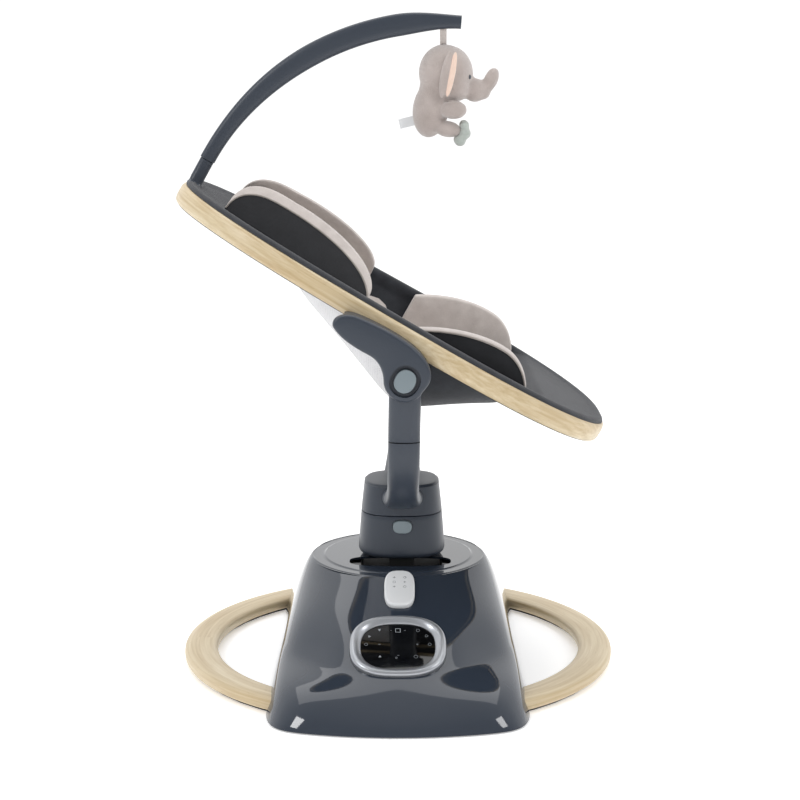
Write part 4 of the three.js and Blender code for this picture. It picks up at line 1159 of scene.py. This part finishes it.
def makeToyBar():
    x = toyBar["base"]
    top = rim["high"]
    levels = [(10, 22, top + 0.3), (10, 22, top + 2), (9, 20, top + 3.6), (9, 9, top + 6),
              (9.4, 7.4, top + 10), (9.4, 7.6, toyBar["joint"] - 1), (8.8, 7, toyBar["joint"] - 0.3)]
    mount = ovalStack("toyBarMount", levels, 2.6, seatPlace, 72, x)
    finishPiece(mount, paint["satin"], "seat", ["toy_bar_mount"], 40)
    points = [Vector((x, 0, toyBar["joint"] + 0.3)), Vector((x, 0, toyBar["joint"] + 150)),
              Vector((toyBar["tipX"] - 117, 0, toyBar["tipZ"] - 56)),
              Vector((toyBar["tipX"], 0, toyBar["tipZ"]))]

    def size(t):
        taper = 1 - 0.4 * ease((t - 0.78) / 0.22)
        return toyBar["half"], mix(toyBar["thin"], toyBar["deep"], ease(t * 2)) * taper

    along = 90
    arch = bar("toyBar", points, Vector((0, 1, 0)), size, 3, 40, along, 1 / along, seatPlace)
    notch = box("clipNotch", (toy["x"] - 9, -3.2, toy["barEnd"] - 3), (toy["x"] + 9, 3.2, toy["barEnd"] + 3))
    booleans(arch, [notch])
    finishPiece(arch, paint["satin"], "toy_bar", ["toy_bar"], 30)
    pieces = []
    for sign in (-1, 1):
        points = []
        for i in range(7):
            points.append(Vector((toy["x"], sign * 1.6, mix(toy["barEnd"] - 1, toy["pin"] + 0.5, i / 6))))
        pieces.append(tube("strap", points, Vector((1, 0, 0)), toy["strapHalf"], 0.6, None, 20, 5))
    pieces.append(cylinder("pin", 1.2, 6, (toy["x"], 0, toy["pin"] + 2), "Y", 24))
    hanger = joined(pieces, "toyHanger")
    finishPiece(hanger, paint["greyCloth"], "toy_bar", ["toy_hook"])


# Sewn body parts as (x, y, z, half x, half y, half z, turn); those off the middle plane are on both sides
plushBody = [(44, 0, 761, 24.5, 27, 38, 8), (62, 0, 809, 34.5, 32, 37.5, 0), (67, 0, 808, 33.5, 30, 37, 0),
             (77, 0, 790, 21, 25, 19, 0), (47, 0, 785, 19, 24, 26, 0), (103, 0, 786, 16, 13, 16, 0),
             (113, 0, 785, 11, 9, 12, -25), (124.5, 0, 800, 9.6, 8.6, 17, 22)]
plushLimbs = [(74, 24, 760.5, 18, 10, 12.5, 0), (67, 17, 734.5, 18, 11, 10.5, 6)]
plushPaws = [(89, 17, 740, 6.5, 8, 6.5, 0), (89.6, 17, 729.5, 8, 9.5, 8, 0), (83, 17, 720, 8, 9, 8, 0)]


def sewn(parts, name, voxel):
    pieces = []
    for x, y, z, a, b, c, turn in parts:
        for side in (-1, 1) if y else (1,):
            pieces.append(ball("stuffing", (x, y * side, z), (a, b, c), turn))
    body = joined(pieces, name)
    useModifier(body, "REMESH", mode="VOXEL", voxel_size=voxel * mm)
    useModifier(body, "SMOOTH", factor=0.6, iterations=6)
    return body


def makeToy():
    body = sewn(plushBody + plushLimbs, "plushElephant", 2.2)
    for vertex in body.data.vertices:
        x, y, z = vertex.co / mm
        seam = bell(y, 0.9) if x < 100 else 0
        neck = bell(z - 768, 2.2) if x < 95 else 0
        vertex.co.x -= 0.5 * seam * mm * (1 if x > 60 else -1)
        vertex.co.y *= 1 - 0.03 * neck
    points = [Vector((toy["x"], 0, mix(840, toy["pin"] + 3.4, i / 6))) for i in range(7)]
    loop = tube("loop", points, Vector((1, 0, 0)), toy["strapHalf"], 0.7, None, 20, 5)
    finishPiece(body, paint["plush"], "plush_toy", ["plush_toy"], 60)
    finishPiece(loop, paint["greyCloth"], "plush_toy")
    paws = sewn(plushPaws, "toyPaws", 1.6)
    finishPiece(paws, paint["sage"], "plush_toy", angle=60)
    for sign, place in ((-1, "front"), (1, "rear")):
        ears = []
        for x, depth, half, thick, tall in ((63.5, 33, 7.2, 4.6, 31), (70.5, 33.4, 5.0, 4.2, 29.5)):
            ear = ball("ear", (x, sign * depth, 807), (half, thick, tall), 11)
            useModifier(ear, "SUBSURF", levels=1, render_levels=1)
            ears.append(ear)
        outer, inner = ears
        outer.name = f"toyEar.{place}"
        inner.name = f"toyEarLining.{place}"
        finishPiece(outer, paint["plush"], "plush_toy", angle=60)
        finishPiece(inner, paint["peach"], "plush_toy", angle=60)
        eye = ball(f"toyEye.{place}", (95.5, sign * 15.5, 803.5), (1.8, 2.0, 3.0))
        finishPiece(eye, paint["ink"], "plush_toy", angle=60)
    points = [Vector((mix(22, 2, i / 8), 0.6 * math.sin(i * 0.7), mix(746, 741, i / 8))) for i in range(9)]
    label = tube("blankLabel", points, Vector((0, 0, 1)), 6.5, 0.35, None, 24, 6)
    finishPiece(label, paint["white"], "plush_toy", angle=40)


makeToyBar()
makeToy()
print("toy ready")

# Working parts of the frame keep their shape and take a finish
finishes = {
    "rubber": ["floor_grip"],
    "shadeInHousing": ["carriage", "base_plate"],
    # the carriage and base plate take the near-black painted shade of the slot
    "dark": ["speaker", "power_inlet", "bearing_housing"],
    "board": ["main_board", "control_board"],
    "acetal": ["drive_pinion", "swivel_bearing", "guide_rail_front", "guide_rail_rear"],
    "satin": ["pivot_tube_front", "pivot_tube_rear"],
    "steel": ["ring_clamp_front", "ring_clamp_rear", "gear_motor", "motor_bracket", "remote_magnet",
              "hub_spindle"],
}
finishes["steel"] += [name for name in frame["nodes"] if name.startswith("housing_screw_")]
finishes["acetal"] += [name for name in frame["nodes"] if name.startswith("roller_")]
for finish, names in finishes.items():
    for name in names:
        part = frame["nodes"][name].data
        part.materials.clear()
        part.materials.append(paint[finish])
